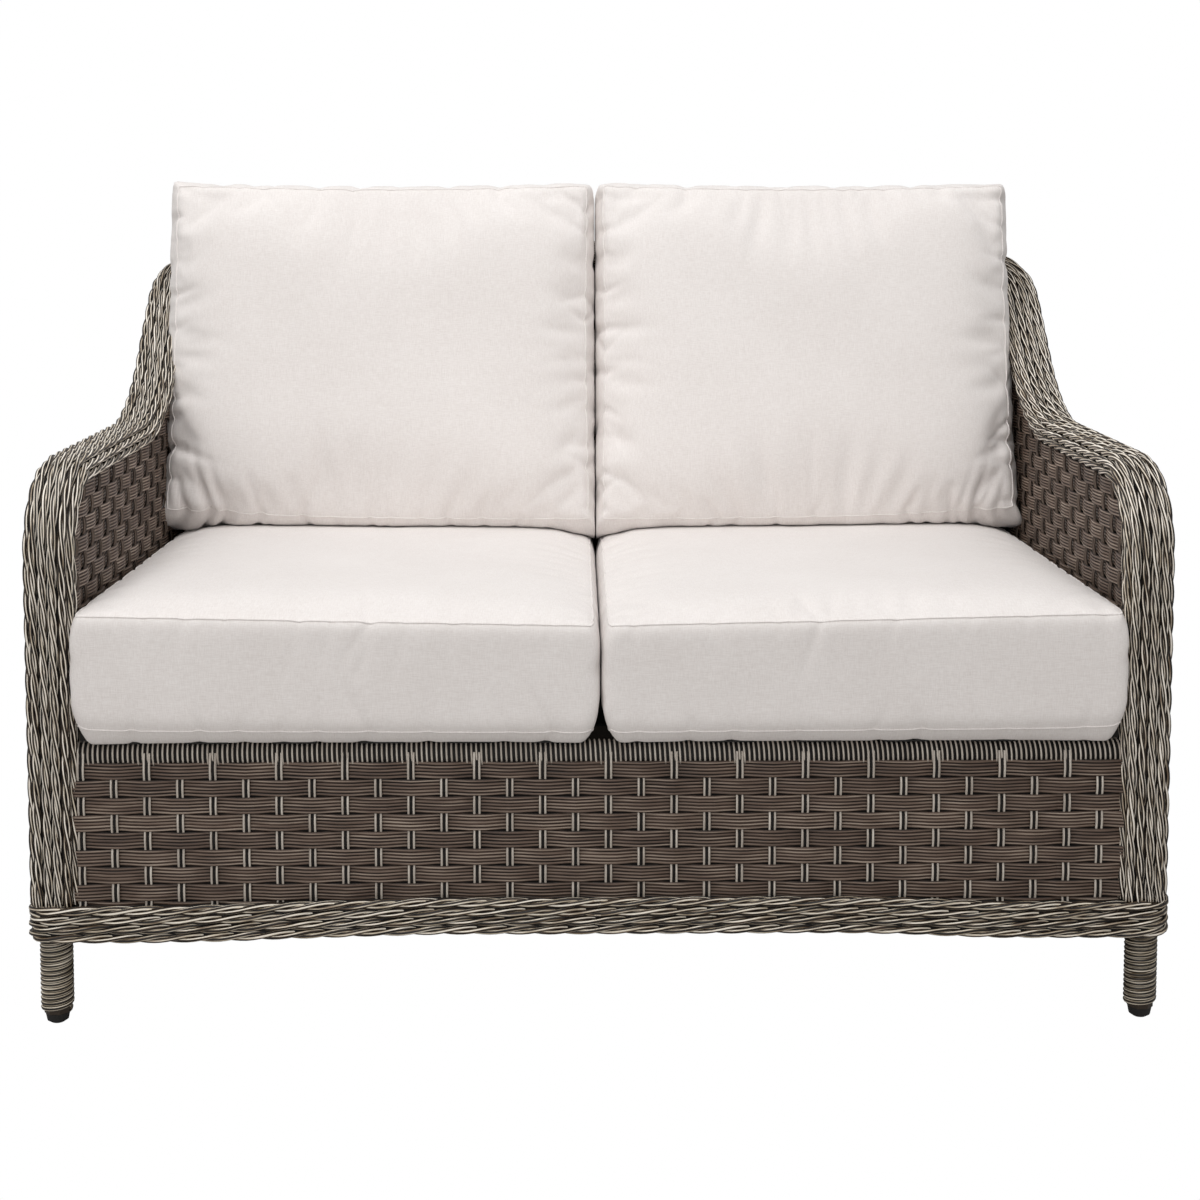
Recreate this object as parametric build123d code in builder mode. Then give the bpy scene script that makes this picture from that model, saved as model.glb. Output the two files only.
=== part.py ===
from build123d import *
import math
import os

# Patio loveseat: woven resin over an aluminium tube frame, with four loose cushions.
# Millimetres. X runs to the right seen from the front, Y to the back, Z up.
# The origin is on the floor under the middle of the seat.

# Overall sizes
overall_width = 1320.0
overall_depth = 850.0
arm_height = 650.0
back_above_arms = 231.0
seat_rail_top = 328.0

# Clearances
fit_gap = 0.3
cushion_gap = 2.0
overrun = 40.0

# Frame tubes
post_diameter = 28.0
rail_diameter = 25.0
tube_wall = 1.6
tube_sides = 8
rail_wrap_thickness = 2.5

# Braided capping over the posts, arms and top rail
braid_width = 58.0
braid_depth = 52.0
braid_corner = 16.0
rope_rows = 9
rope_rise = 1.2

# Curve of the arm, on the centre line of its tube
corner_radius = 82.0
sweep_radius = 277.0
crest_radius = 120.0
shoulder_radius = 95.0
crest_run = 10.0
shoulder_stub = 40.0
sweep_angle = 45.0
shoulder_angle = 27.0

# Braided rim round the base
rim_bottom = 104.0
rim_height = 42.0
rim_overhang = 3.0
rim_front_radius = 34.0
rim_return = 40.0
rim_rows = 4
rim_rise = 1.6

# Woven skins
skin_thickness = 3.0
outer_inset = 9.5
inner_inset = 6.0
skin_lift = 4.0
weave_rows = 8
stake_pitch = 37.5
stake_width = 9.0
band_groove = 0.8
float_rise = 1.4
skirt_top_drop = 20.0

# Legs and feet
glide_height = 12.0
glide_pad_diameter = 16.0
glide_spigot_length = 20.0
dome_shares = ((0.7, 0.25), (1, 1))
leg_wrap_diameter = 38.0
leg_wrap_bottom = 10.0

# Seat deck
strap_width = 50.0
strap_thickness = 2.0
strap_pitch = 100.0
cross_bar_spacing = 400.0

# Raked inner back, set forward from the middle of the top rail
back_foot_setback = 161.0
back_head_setback = 36.5
back_panel_drop = 6.0

# Seat cushions
seat_boxing = 138.0
seat_crown = 20.0
seat_front_bulge = 2.0
seat_corner_radius = 26.0
seat_foam_margin = 24.0

# Back cushions
back_cushion_proud = 85.0
back_boxing = 140.0
back_crown = 26.0
back_corner_radius = 34.0
back_base_draw = 28.0
back_fill_margin = 30.0
back_cushion_lift = -8.6

# Cushion form shared by all four
side_draw = 5.0
boxing_bulge = 4.0
boxing_shares = (0.45, 0.75)
crown_shares = ((0, 0), (0.55, 0.14), (0.9, 0.42), (1, 0.7))

# Places worked out from the sizes above
back_height = arm_height + back_above_arms
half_width = overall_width / 2 - rim_overhang
tube_x = half_width - braid_width / 2
front_face_y = -overall_depth / 2 + rim_overhang
post_y = front_face_y + braid_depth / 2
shoulder_cos = math.cos(math.radians(shoulder_angle))
shoulder_sin = math.sin(math.radians(shoulder_angle))
rope_side = braid_width / 2 - rope_rise
rope_top = braid_depth / 2 - rope_rise
top_rail_reach = rope_side * shoulder_cos + rope_top * shoulder_sin
top_rail_y = overall_depth / 2 - top_rail_reach
top_rail_lift = braid_depth / 2 * shoulder_cos + (braid_width / 2 - braid_corner) * shoulder_sin
top_rail_z = back_height - top_rail_lift
arm_z = arm_height - braid_depth / 2
crest_tangent = crest_radius * math.tan(math.radians((sweep_angle - shoulder_angle) / 2))
crest_to_rail = shoulder_radius + crest_run + crest_tangent
crest_y = top_rail_y - crest_to_rail * shoulder_cos
crest_z = top_rail_z - crest_to_rail * shoulder_sin
sweep_y = crest_y - (crest_z - arm_z) / math.tan(math.radians(sweep_angle))
stub_end_x = tube_x - shoulder_radius - shoulder_stub

post_radius = post_diameter / 2
post_reach = post_radius / math.cos(math.pi / tube_sides)
rail_radius = rail_diameter / 2
rim_top = rim_bottom + rim_height
rim_thickness = rim_overhang + outer_inset - fit_gap
outer_skin_reach = braid_width / 2 - outer_inset
inner_skin_reach = braid_width / 2 - inner_inset
skirt_front_y = front_face_y + outer_inset
skirt_back_y = skirt_front_y + skin_thickness
skin_bottom = rim_bottom + skin_lift

# The walls turn the rear corners in plan on a round that lies under the shoulder
corner_centre_x = tube_x - shoulder_radius
corner_centre_y = top_rail_y - shoulder_radius
diagonal = math.cos(math.radians(45))
rear_post_x = corner_centre_x + shoulder_radius * diagonal
rear_post_y = top_rail_y - shoulder_radius * shoulder_cos * (1 - diagonal)
rear_post_z = top_rail_z - shoulder_radius * shoulder_sin * (1 - diagonal)

# Rails
wrap_radius = rail_radius + fit_gap + rail_wrap_thickness
front_seat_rail_y = skirt_back_y + fit_gap + wrap_radius
front_seat_rail_z = seat_rail_top - wrap_radius
front_base_rail_y = skirt_back_y + fit_gap + rail_radius
base_rail_z = (rim_bottom + rim_top) / 2
cross_strap_bottom = seat_rail_top + fit_gap
long_strap_bottom = cross_strap_bottom + strap_thickness + fit_gap
deck_top = long_strap_bottom + strap_thickness
side_rail_z = long_strap_bottom - fit_gap - rail_radius
back_foot_z = deck_top + fit_gap
back_head_z = top_rail_z - back_panel_drop
back_run = back_foot_setback - cushion_gap - back_head_setback
back_rake = math.atan2(back_run, back_head_z - back_foot_z)
rake_cos = math.cos(back_rake)
rake_sin = math.sin(back_rake)
seat_back_y = top_rail_y - back_foot_setback
rear_seat_rail_z = cross_strap_bottom - fit_gap - rail_radius
rear_seat_rail_y = seat_back_y + rail_radius
inner_half_width = tube_x - inner_skin_reach
post_gap_half = tube_x - braid_width / 2

finished = {}


def keep(name, built):
    # Every finished piece is labelled and written under its own name.
    built.part.label = name
    finished[name] = built.part


def arm_points(side, start_z):
    # Corner points of the tube from its foot, over the arm and round the shoulder.
    x = side * tube_x
    return [
        (x, post_y, start_z),
        (x, post_y, arm_z),
        (x, sweep_y, arm_z),
        (x, crest_y, crest_z),
        (x, top_rail_y, top_rail_z),
        (side * stub_end_x, top_rail_y, top_rail_z),
    ]


def arm_radii():
    return [corner_radius, sweep_radius, crest_radius, shoulder_radius]


def ridge(start, end, rise):
    # Top of one rope row, standing out to the left of the way from start to end.
    run = end - start
    peak = (start + end) / 2 + Vector(-run.Y, run.X) * (rise / run.length)
    Polyline(start, peak, end)


def rope_outline():
    # Outline of the braid: rope rows over the top and both sides, and a flat underside.
    cap = FilletPolyline(
        (-rope_side, -rope_top),
        (-rope_side, rope_top),
        (rope_side, rope_top),
        (rope_side, -rope_top),
        radius=braid_corner,
        mode=Mode.PRIVATE,
    )
    marks = [cap @ (row / rope_rows) for row in range(rope_rows + 1)]
    for row in range(rope_rows):
        ridge(marks[row], marks[row + 1], rope_rise)
    Line(marks[rope_rows], marks[0])


def wall_side(low_z):
    # Side view of the walls: everything under the braid of the arm and the shoulder.
    front = post_y
    rear = top_rail_y + overrun + braid_width
    rear_z = top_rail_z + (rear - top_rail_y) * math.tan(math.radians(shoulder_angle))
    with BuildSketch(Plane.YZ) as view:
        with BuildLine():
            route = FilletPolyline(
                (front, low_z - overrun),
                (front, arm_z),
                (sweep_y, arm_z),
                (crest_y, crest_z),
                (rear, rear_z),
                radius=[corner_radius, sweep_radius, crest_radius],
            )
            Polyline(route @ 1, (rear, low_z - overrun), route @ 0)
        make_face()
        offset(amount=-(braid_depth / 2 + fit_gap))
        with Locations((0, low_z)):
            Rectangle(
                2 * overall_depth,
                2 * back_height,
                align=(Align.CENTER, Align.MIN),
                mode=Mode.INTERSECT,
            )
    return view.sketch


def flat_sided(radius, mode=Mode.ADD):
    # Flat sided outline of the frame's main tube, its bore and the holes it passes through.
    turn = math.degrees(math.pi / tube_sides)
    RegularPolygon(radius, tube_sides, major_radius=False, rotation=turn, mode=mode)


def post_section():
    # Section of the frame's main tube.
    flat_sided(post_radius)
    flat_sided(post_radius - tube_wall, Mode.SUBTRACT)


def tube_between(name, start, end, diameter):
    # Straight round tube with open ends between two points.
    axis = Vector(*end) - Vector(*start)
    with BuildPart() as tube:
        with BuildSketch(Plane(origin=start, z_dir=axis)):
            Circle(diameter / 2)
            Circle(diameter / 2 - tube_wall, mode=Mode.SUBTRACT)
        extrude(amount=axis.length)
    keep(name, tube)


def square_tube_between(name, start, end, width):
    # Straight square tube with open ends between two points.
    axis = Vector(*end) - Vector(*start)
    with BuildPart() as tube:
        with BuildSketch(Plane(origin=start, x_dir=(0, 0, 1), z_dir=axis)):
            Rectangle(width, width)
            Rectangle(width - 2 * tube_wall, width - 2 * tube_wall, mode=Mode.SUBTRACT)
        extrude(amount=axis.length)
    keep(name, tube)


# Arm tubes: each runs from the front foot over the arm and round the shoulder, with flats
for side, hand in ((-1, "left"), (1, "right")):
    with BuildPart() as arm_tube:
        with BuildLine() as route:
            FilletPolyline(arm_points(side, glide_height), radius=arm_radii())
        with BuildSketch(Plane.XY.offset(glide_height).shift_origin((side * tube_x, post_y, glide_height))):
            post_section()
        sweep(path=route.wire())
    keep(f"arm_tube_{hand}", arm_tube)

# Braids of the posts and arms: rope rows swept along the same curve as the tube, with holes
# where the rear post and the seat rails meet the tube
rail_run = Vector(rear_post_x - tube_x, rear_post_y - post_y, 0)
start_z = rim_top + fit_gap
with BuildPart() as arm_braid_right:
    with BuildLine() as route:
        FilletPolyline(arm_points(1, start_z), radius=arm_radii())
    with BuildSketch(Plane(origin=(tube_x, post_y, start_z), x_dir=(-1, 0, 0), z_dir=(0, 0, 1))):
        with BuildLine():
            rope_outline()
        make_face()
        flat_sided(post_radius + fit_gap, Mode.SUBTRACT)
    sweep(path=route.wire())
    with BuildSketch(Plane.XY.offset(rear_post_z - braid_depth)):
        with Locations((rear_post_x, rear_post_y)):
            flat_sided(post_radius + fit_gap)
    extrude(amount=braid_depth, mode=Mode.SUBTRACT)
    with BuildSketch(Plane(origin=(tube_x, front_seat_rail_y, front_seat_rail_z), z_dir=(-1, 0, 0))):
        Circle(rail_radius + fit_gap)
    extrude(amount=braid_width, mode=Mode.SUBTRACT)
    with BuildSketch(Plane(origin=(tube_x, post_y, side_rail_z), x_dir=(0, 0, 1), z_dir=rail_run)):
        Rectangle(rail_diameter + 2 * fit_gap, rail_diameter + 2 * fit_gap)
    extrude(amount=braid_width, mode=Mode.SUBTRACT)
keep("arm_braid_right", arm_braid_right)
with BuildPart() as arm_braid_left:
    mirror(arm_braid_right.part, about=Plane.YZ)
keep("arm_braid_left", arm_braid_left)

# Top rail tube and its braid between the two shoulders
rail_half = stub_end_x - fit_gap / 2
rail_plane = Plane(
    origin=(-rail_half, top_rail_y, top_rail_z),
    x_dir=(0, shoulder_cos, shoulder_sin),
    z_dir=(1, 0, 0),
)
with BuildPart() as top_rail_tube:
    with BuildSketch(rail_plane):
        post_section()
    extrude(amount=2 * rail_half)
keep("top_rail_tube", top_rail_tube)
with BuildPart() as top_rail_braid:
    with BuildSketch(rail_plane):
        with BuildLine():
            rope_outline()
        make_face()
        flat_sided(post_radius + fit_gap, Mode.SUBTRACT)
    extrude(amount=2 * rail_half)
keep("top_rail_braid", top_rail_braid)

# Rear posts under the shoulders, mitred to the slope of the arm tube
for side, hand in ((-1, "left"), (1, "right")):
    with BuildPart() as rear_post:
        with BuildSketch(Plane.XY.offset(glide_height)):
            with Locations((side * rear_post_x, rear_post_y)):
                post_section()
        extrude(amount=rear_post_z - glide_height)
        under_arm = Plane(
            origin=(side * rear_post_x, rear_post_y, rear_post_z),
            z_dir=(0, -shoulder_sin, shoulder_cos),
        ).offset(-(post_reach + fit_gap))
        split(bisect_by=under_arm, keep=Keep.BOTTOM)
    keep(f"rear_post_{hand}", rear_post)

# Base and seat rails between the posts
front_end = tube_x - post_radius - fit_gap
rear_end = rear_post_x - post_radius - fit_gap
square_tube_between(
    "base_rail_front",
    (-front_end, front_base_rail_y, base_rail_z),
    (front_end, front_base_rail_y, base_rail_z),
    rail_diameter,
)
tube_between(
    "seat_rail_front",
    (-front_end, front_seat_rail_y, front_seat_rail_z),
    (front_end, front_seat_rail_y, front_seat_rail_z),
    rail_diameter,
)
square_tube_between(
    "base_rail_rear",
    (-rear_end, rear_post_y, base_rail_z),
    (rear_end, rear_post_y, base_rail_z),
    rail_diameter,
)
rail_step = rail_run.normalized() * (post_radius + 2 * fit_gap)
for side, hand in ((-1, "left"), (1, "right")):
    for name, height in (("base_rail", base_rail_z), ("seat_rail", side_rail_z)):
        start = (side * (tube_x + rail_step.X), post_y + rail_step.Y, height)
        end = (side * (rear_post_x - rail_step.X), rear_post_y - rail_step.Y, height)
        square_tube_between(f"{name}_{hand}", start, end, rail_diameter)

# Rear seat rail, carried by the side rails, with two bars under the seat deck
rail_share = (rear_seat_rail_y - post_y) / (rear_post_y - post_y)
side_rail_x = tube_x + (rear_post_x - tube_x) * rail_share
rear_rail_half = side_rail_x - rail_radius - 3 * fit_gap
square_tube_between(
    "seat_rail_rear",
    (-rear_rail_half, rear_seat_rail_y, rear_seat_rail_z),
    (rear_rail_half, rear_seat_rail_y, rear_seat_rail_z),
    rail_diameter,
)
bar_start_y = front_seat_rail_y + wrap_radius + fit_gap
bar_length = rear_seat_rail_y - rail_radius - fit_gap - bar_start_y
with BuildPart() as seat_cross_bars:
    with BuildSketch(Plane.XZ.offset(-bar_start_y)):
        with Locations((0, rear_seat_rail_z)):
            with GridLocations(cross_bar_spacing, 0, 2, 1):
                Rectangle(rail_diameter, rail_diameter)
                Rectangle(
                    rail_diameter - 2 * tube_wall,
                    rail_diameter - 2 * tube_wall,
                    mode=Mode.SUBTRACT,
                )
    extrude(amount=-bar_length)
keep("seat_cross_bars", seat_cross_bars)

# Strand wrapping over the front seat rail
with BuildPart() as front_rail_wrap:
    with BuildSketch(Plane.YZ.offset(-post_gap_half + fit_gap)):
        with Locations((front_seat_rail_y, front_seat_rail_z)):
            Circle(wrap_radius)
            Circle(rail_radius + fit_gap, mode=Mode.SUBTRACT)
    extrude(amount=2 * (post_gap_half - fit_gap))
keep("front_rail_wrap", front_rail_wrap)

# Webbing of the seat deck: straps front to back, then straps across them
deck_front_y = front_seat_rail_y - rail_radius
deck_back_y = rear_seat_rail_y + rail_radius
cross_strap_count = int(2 * (inner_half_width - strap_width) // strap_pitch) + 1
long_front_y = post_y + braid_depth / 2 + fit_gap
long_back_y = deck_back_y - rail_diameter
long_strap_count = int((long_back_y - long_front_y - strap_width) // strap_pitch) + 1
deck_middle_y = (deck_front_y + deck_back_y) / 2
with BuildPart() as deck_straps_cross:
    with BuildSketch(Plane.XY.offset(cross_strap_bottom)):
        with Locations((0, deck_middle_y)):
            with GridLocations(strap_pitch, 0, cross_strap_count, 1):
                Rectangle(strap_width, deck_back_y - deck_front_y)
    extrude(amount=strap_thickness)
keep("deck_straps_cross", deck_straps_cross)
with BuildPart() as deck_straps_long:
    with BuildSketch(Plane.XY.offset(long_strap_bottom)):
        with Locations((0, (long_front_y + long_back_y) / 2)):
            with GridLocations(0, strap_pitch, 1, long_strap_count):
                Rectangle(2 * tube_x, strap_width)
    extrude(amount=strap_thickness)
keep("deck_straps_long", deck_straps_long)


def rim_band():
    # Section of the rim: rope rows on the outer face, from its inner face outwards in X.
    step = rim_height / rim_rows
    reach = rim_thickness - rim_rise
    for row in range(rim_rows):
        ridge(Vector(reach, (row + 1) * step), Vector(reach, row * step), rim_rise)
    Polyline((reach, rim_height), (0, rim_height), (0, 0), (reach, 0))


# Braided rim round the base: front with both front corners, sides, and rear with its corners
rim_reach = braid_width / 2 + rim_overhang - rim_thickness
rim_inner_x = tube_x + rim_reach
rim_inner_front = front_face_y - rim_overhang + rim_thickness
rim_inner_rear = top_rail_y + rim_reach
rear_round = shoulder_radius + rim_reach
front_round = rim_front_radius - rim_thickness
front_break_y = rim_inner_front + front_round
rear_break_y = rim_inner_rear - rear_round
with BuildPart() as rim_braid_front:
    with BuildLine() as route:
        FilletPolyline(
            (-rim_inner_x, front_break_y + rim_return, rim_bottom),
            (-rim_inner_x, rim_inner_front, rim_bottom),
            (rim_inner_x, rim_inner_front, rim_bottom),
            (rim_inner_x, front_break_y + rim_return, rim_bottom),
            radius=front_round,
        )
    with BuildSketch(Plane(origin=route.line @ 0, x_dir=(-1, 0, 0), z_dir=(0, 1, 0))):
        with BuildLine():
            rim_band()
        make_face()
    sweep(path=route.wire())
keep("rim_braid_front", rim_braid_front)

side_start_y = front_break_y + rim_return + fit_gap
for side, hand in ((-1, "left"), (1, "right")):
    with BuildPart() as rim_side:
        edge = Plane(
            origin=(side * rim_inner_x, side_start_y, rim_bottom),
            x_dir=(side, 0, 0),
            z_dir=(0, -side, 0),
        )
        with BuildSketch(edge):
            with BuildLine():
                rim_band()
            make_face()
        extrude(amount=-side * (rear_break_y - fit_gap - side_start_y))
    keep(f"rim_braid_{hand}", rim_side)

with BuildPart() as rim_braid_rear:
    with BuildLine() as route:
        FilletPolyline(
            (rim_inner_x, rear_break_y, rim_bottom),
            (rim_inner_x, rim_inner_rear, rim_bottom),
            (-rim_inner_x, rim_inner_rear, rim_bottom),
            (-rim_inner_x, rear_break_y, rim_bottom),
            radius=rear_round - fit_gap,
        )
    with BuildSketch(Plane(origin=route.line @ 0, x_dir=(1, 0, 0), z_dir=(0, -1, 0))):
        with BuildLine():
            rim_band()
        make_face()
    sweep(path=route.wire())
keep("rim_braid_rear", rim_braid_rear)

# Front skirt: woven bands that pass over and under the stakes in alternate rows
skirt_top = seat_rail_top - skirt_top_drop
skirt_half = post_gap_half - fit_gap
row_height = (skirt_top - rim_top) / weave_rows
stake_count = int(2 * skirt_half // stake_pitch)
with BuildPart() as front_skirt_weave:
    with BuildSketch(Plane.XZ.offset(-skirt_back_y)):
        with Locations((0, skin_bottom)):
            Rectangle(2 * skirt_half, skirt_top - skin_bottom, align=(Align.CENTER, Align.MIN))
    extrude(amount=skin_thickness - float_rise)
    with BuildSketch(Plane.XZ.offset(-skirt_front_y - float_rise)):
        for row in range(weave_rows):
            middle_z = rim_top + (row + 0.5) * row_height
            shift = (row % 2) * stake_pitch
            with Locations((shift - stake_pitch / 2, middle_z)):
                with GridLocations(2 * stake_pitch, 0, stake_count // 2, 1):
                    Rectangle(2 * stake_pitch - stake_width, row_height - band_groove)
        with Locations((0, (rim_top + skirt_top) / 2)):
            Rectangle(2 * skirt_half, skirt_top - rim_top, mode=Mode.INTERSECT)
    extrude(amount=float_rise)
keep("front_skirt_weave", front_skirt_weave)

# Outer and inner skins of the arms, cut to the curve of the arm
wall = wall_side(skin_bottom)
side_front_y = post_y + braid_depth / 2 + fit_gap
outer_rear_y = corner_centre_y - fit_gap
inner_rear_y = rear_post_y - post_radius - fit_gap
wall_height = back_height - skin_bottom
for side, hand in ((-1, "left"), (1, "right")):
    with BuildPart() as outer_weave:
        with BuildSketch(Plane.XY.offset(skin_bottom)):
            with Locations((side * (tube_x + outer_skin_reach - skin_thickness / 2), side_front_y)):
                Rectangle(skin_thickness, outer_rear_y - side_front_y, align=(Align.CENTER, Align.MIN))
        extrude(amount=wall_height)
        extrude(wall, amount=overall_width, both=True, mode=Mode.INTERSECT)
    keep(f"outer_weave_{hand}", outer_weave)

    with BuildPart() as inner_weave:
        with BuildSketch(Plane.XY.offset(deck_top + fit_gap)):
            with Locations((side * (tube_x - inner_skin_reach + skin_thickness / 2), side_front_y)):
                Rectangle(skin_thickness, inner_rear_y - side_front_y, align=(Align.CENTER, Align.MIN))
        extrude(amount=wall_height)
        extrude(wall, amount=overall_width, both=True, mode=Mode.INTERSECT)
    keep(f"inner_weave_{hand}", inner_weave)

    with BuildPart() as corner_weave:
        with BuildSketch(Plane.XY.offset(skin_bottom)):
            outside = shoulder_radius + outer_skin_reach
            with Locations((side * corner_centre_x, corner_centre_y)):
                Circle(outside)
                Circle(outside - skin_thickness, mode=Mode.SUBTRACT)
                Rectangle(
                    outside + overrun,
                    outside + overrun,
                    align=(Align.MIN if side > 0 else Align.MAX, Align.MIN),
                    mode=Mode.INTERSECT,
                )
        extrude(amount=wall_height)
        extrude(wall, amount=overall_width, both=True, mode=Mode.INTERSECT)
    keep(f"rear_corner_weave_{hand}", corner_weave)

# Outer back skin between the rounded corners
with BuildPart() as back_weave_outer:
    with BuildSketch(Plane.XY.offset(skin_bottom)):
        with Locations((0, top_rail_y + outer_skin_reach - skin_thickness / 2)):
            Rectangle(2 * (corner_centre_x - fit_gap), skin_thickness)
    extrude(amount=wall_height)
    extrude(wall, amount=overall_width, both=True, mode=Mode.INTERSECT)
keep("back_weave_outer", back_weave_outer)

# Raked inner back skin, from the rear seat rail up to the top rail
back_foot_y = seat_back_y + cushion_gap
back_plane = Plane(
    origin=(0, back_foot_y, back_foot_z),
    x_dir=(1, 0, 0),
    z_dir=(0, -rake_cos, rake_sin),
)
back_panel_rise = (back_head_z - back_foot_z) / rake_cos
with BuildPart() as back_weave_inner:
    with BuildSketch(back_plane):
        with Locations((0, -skin_thickness)):
            Rectangle(2 * (inner_half_width - fit_gap), back_height, align=(Align.CENTER, Align.MIN))
    extrude(amount=-skin_thickness)
    extrude(wall, amount=overall_width, both=True, mode=Mode.INTERSECT)
    with BuildSketch(back_plane):
        Rectangle(2 * corner_centre_x, back_panel_rise, align=(Align.CENTER, Align.MIN))
    extrude(amount=-skin_thickness)
    with BuildSketch(Plane.XY.offset(back_foot_z)):
        Rectangle(2 * overall_width, 2 * overall_depth)
    extrude(amount=back_height, mode=Mode.INTERSECT)
keep("back_weave_inner", back_weave_inner)

# Legs: strand wrapping round each foot of the frame, and a glide in each tube end
foot_places = (
    (-tube_x, post_y),
    (tube_x, post_y),
    (-rear_post_x, rear_post_y),
    (rear_post_x, rear_post_y),
)
with BuildPart() as leg_wraps:
    with BuildSketch(Plane.XY.offset(leg_wrap_bottom)):
        with Locations(*foot_places):
            Circle(leg_wrap_diameter / 2)
            flat_sided(post_radius + fit_gap, Mode.SUBTRACT)
    extrude(amount=rim_bottom - fit_gap - leg_wrap_bottom)
keep("leg_wraps", leg_wraps)

pad_radius = glide_pad_diameter / 2
dome_height = glide_height - fit_gap
spigot_radius = post_radius - tube_wall - fit_gap
with BuildPart() as foot_glides:
    for foot_x, foot_y in foot_places:
        with BuildSketch(Plane(origin=(foot_x, foot_y, 0), x_dir=(1, 0, 0), z_dir=(0, -1, 0))):
            with BuildLine():
                dome = [(pad_radius, 0)]
                for reach_share, height_share in dome_shares:
                    reach = pad_radius + (post_radius - pad_radius) * reach_share
                    dome.append((reach, dome_height * height_share))
                Polyline(*dome, (0, dome_height), (0, 0), close=True)
            make_face()
        revolve(axis=Axis((foot_x, foot_y, 0), (0, 0, 1)))
        with BuildSketch(Plane.XY.offset(dome_height)):
            with Locations((foot_x, foot_y)):
                flat_sided(spigot_radius)
        extrude(amount=glide_spigot_length)
keep("foot_glides", foot_glides)


def cushion_outline(width, height, radius):
    # Corners of a closed outline with rounded corners and sides drawn in at their middles.
    half_w = width / 2
    half_h = height / 2
    ease = radius * (1 - diagonal)
    right_top = [
        (half_w - side_draw, 0),
        (half_w, half_h - radius),
        (half_w - ease, half_h - ease),
        (half_w - radius, half_h),
        (0, half_h - side_draw),
    ]
    left_top = [(-x, y) for x, y in reversed(right_top[:-1])]
    lower = [(-x, -y) for x, y in (right_top + left_top)[1:-1]]
    return right_top + left_top + lower


def build_cushion(names, base, width, height, boxing, form):
    # Boxed cushion built up from its flat base panel: bulged boxing, seam and crowned panel.
    cover_name, fill_name = names
    radius, crown, base_draw, margin = form
    span = min(width, height) / 2
    levels = [(0, base_draw)]
    for rise_share in boxing_shares:
        levels.append((boxing * rise_share, -boxing_bulge))
    for rise_share, inset_share in crown_shares:
        levels.append((boxing + crown * rise_share, span * inset_share))
    outline = cushion_outline(width, height, radius)
    rings = []
    for level, inset in levels:
        share = 1 - (boxing_bulge + inset) / span
        rings.append([base.from_local_coords((x * share, y * share, level)) for x, y in outline])
    panels = [Face(Wire.make_polygon(ring)) for ring in (rings[0], rings[-1])]
    for low, high in zip(rings, rings[1:]):
        for corner in range(len(outline)):
            after = (corner + 1) % len(outline)
            sides = (low[corner], low[after], high[after], high[corner])
            panels.append(Face(Wire.make_polygon(sides)))
    with BuildPart() as cover:
        add(Solid(Shell(panels)))
        core_w = width - 2 * (margin + base_draw)
        core_h = height - 2 * (margin + base_draw)
        core = boxing - 2 * margin
        with BuildSketch(base.offset(margin)):
            Rectangle(core_w, core_h)
        extrude(amount=core, mode=Mode.SUBTRACT)
    keep(cover_name, cover)
    with BuildPart() as fill:
        with BuildSketch(base.offset(margin + fit_gap)):
            Rectangle(core_w - 2 * fit_gap, core_h - 2 * fit_gap)
        extrude(amount=core - 2 * fit_gap)
    keep(fill_name, fill)


# Seat cushions lie on the deck, side by side between the posts
cushion_width = post_gap_half - 1.5 * cushion_gap
seat_length = seat_back_y - front_face_y + seat_front_bulge
seat_middle_y = seat_back_y - seat_length / 2
seat_bottom = deck_top + fit_gap
seat_form = (seat_corner_radius, seat_crown, side_draw, seat_foam_margin)
for side, hand in ((-1, "left"), (1, "right")):
    build_cushion(
        (f"seat_cover_{hand}", f"seat_foam_{hand}"),
        Plane(origin=(side * (cushion_width + cushion_gap) / 2, seat_middle_y, seat_bottom)),
        cushion_width,
        seat_length,
        seat_boxing,
        seat_form,
    )

# Back cushions stand on the seat cushions and lean on the raked back
back_form = (back_corner_radius, back_crown, back_base_draw, back_fill_margin)
back_foot_rise = (seat_bottom + seat_boxing + back_cushion_lift - back_foot_z) / rake_cos
back_cushion_reach = back_height + back_cushion_proud - back_foot_z - (cushion_gap + back_boxing) * rake_sin
back_cushion_height = back_cushion_reach / rake_cos - back_foot_rise
for side, hand in ((-1, "left"), (1, "right")):
    lean = back_plane.offset(cushion_gap)
    middle = lean.from_local_coords((0, back_foot_rise + back_cushion_height / 2, 0))
    build_cushion(
        (f"back_cover_{hand}", f"back_fill_{hand}"),
        Plane(
            origin=(side * (cushion_width + cushion_gap) / 2, middle.Y, middle.Z),
            x_dir=lean.x_dir,
            z_dir=lean.z_dir,
        ),
        cushion_width,
        back_cushion_height,
        back_boxing,
        back_form,
    )

os.makedirs("parts", exist_ok=True)
for name, piece in finished.items():
    export_step(piece, f"parts/{name}.step")
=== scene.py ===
import math
import bmesh
import bpy
import numpy as np
from mathutils import Matrix, Vector
from mathutils.bvhtree import BVHTree


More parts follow.
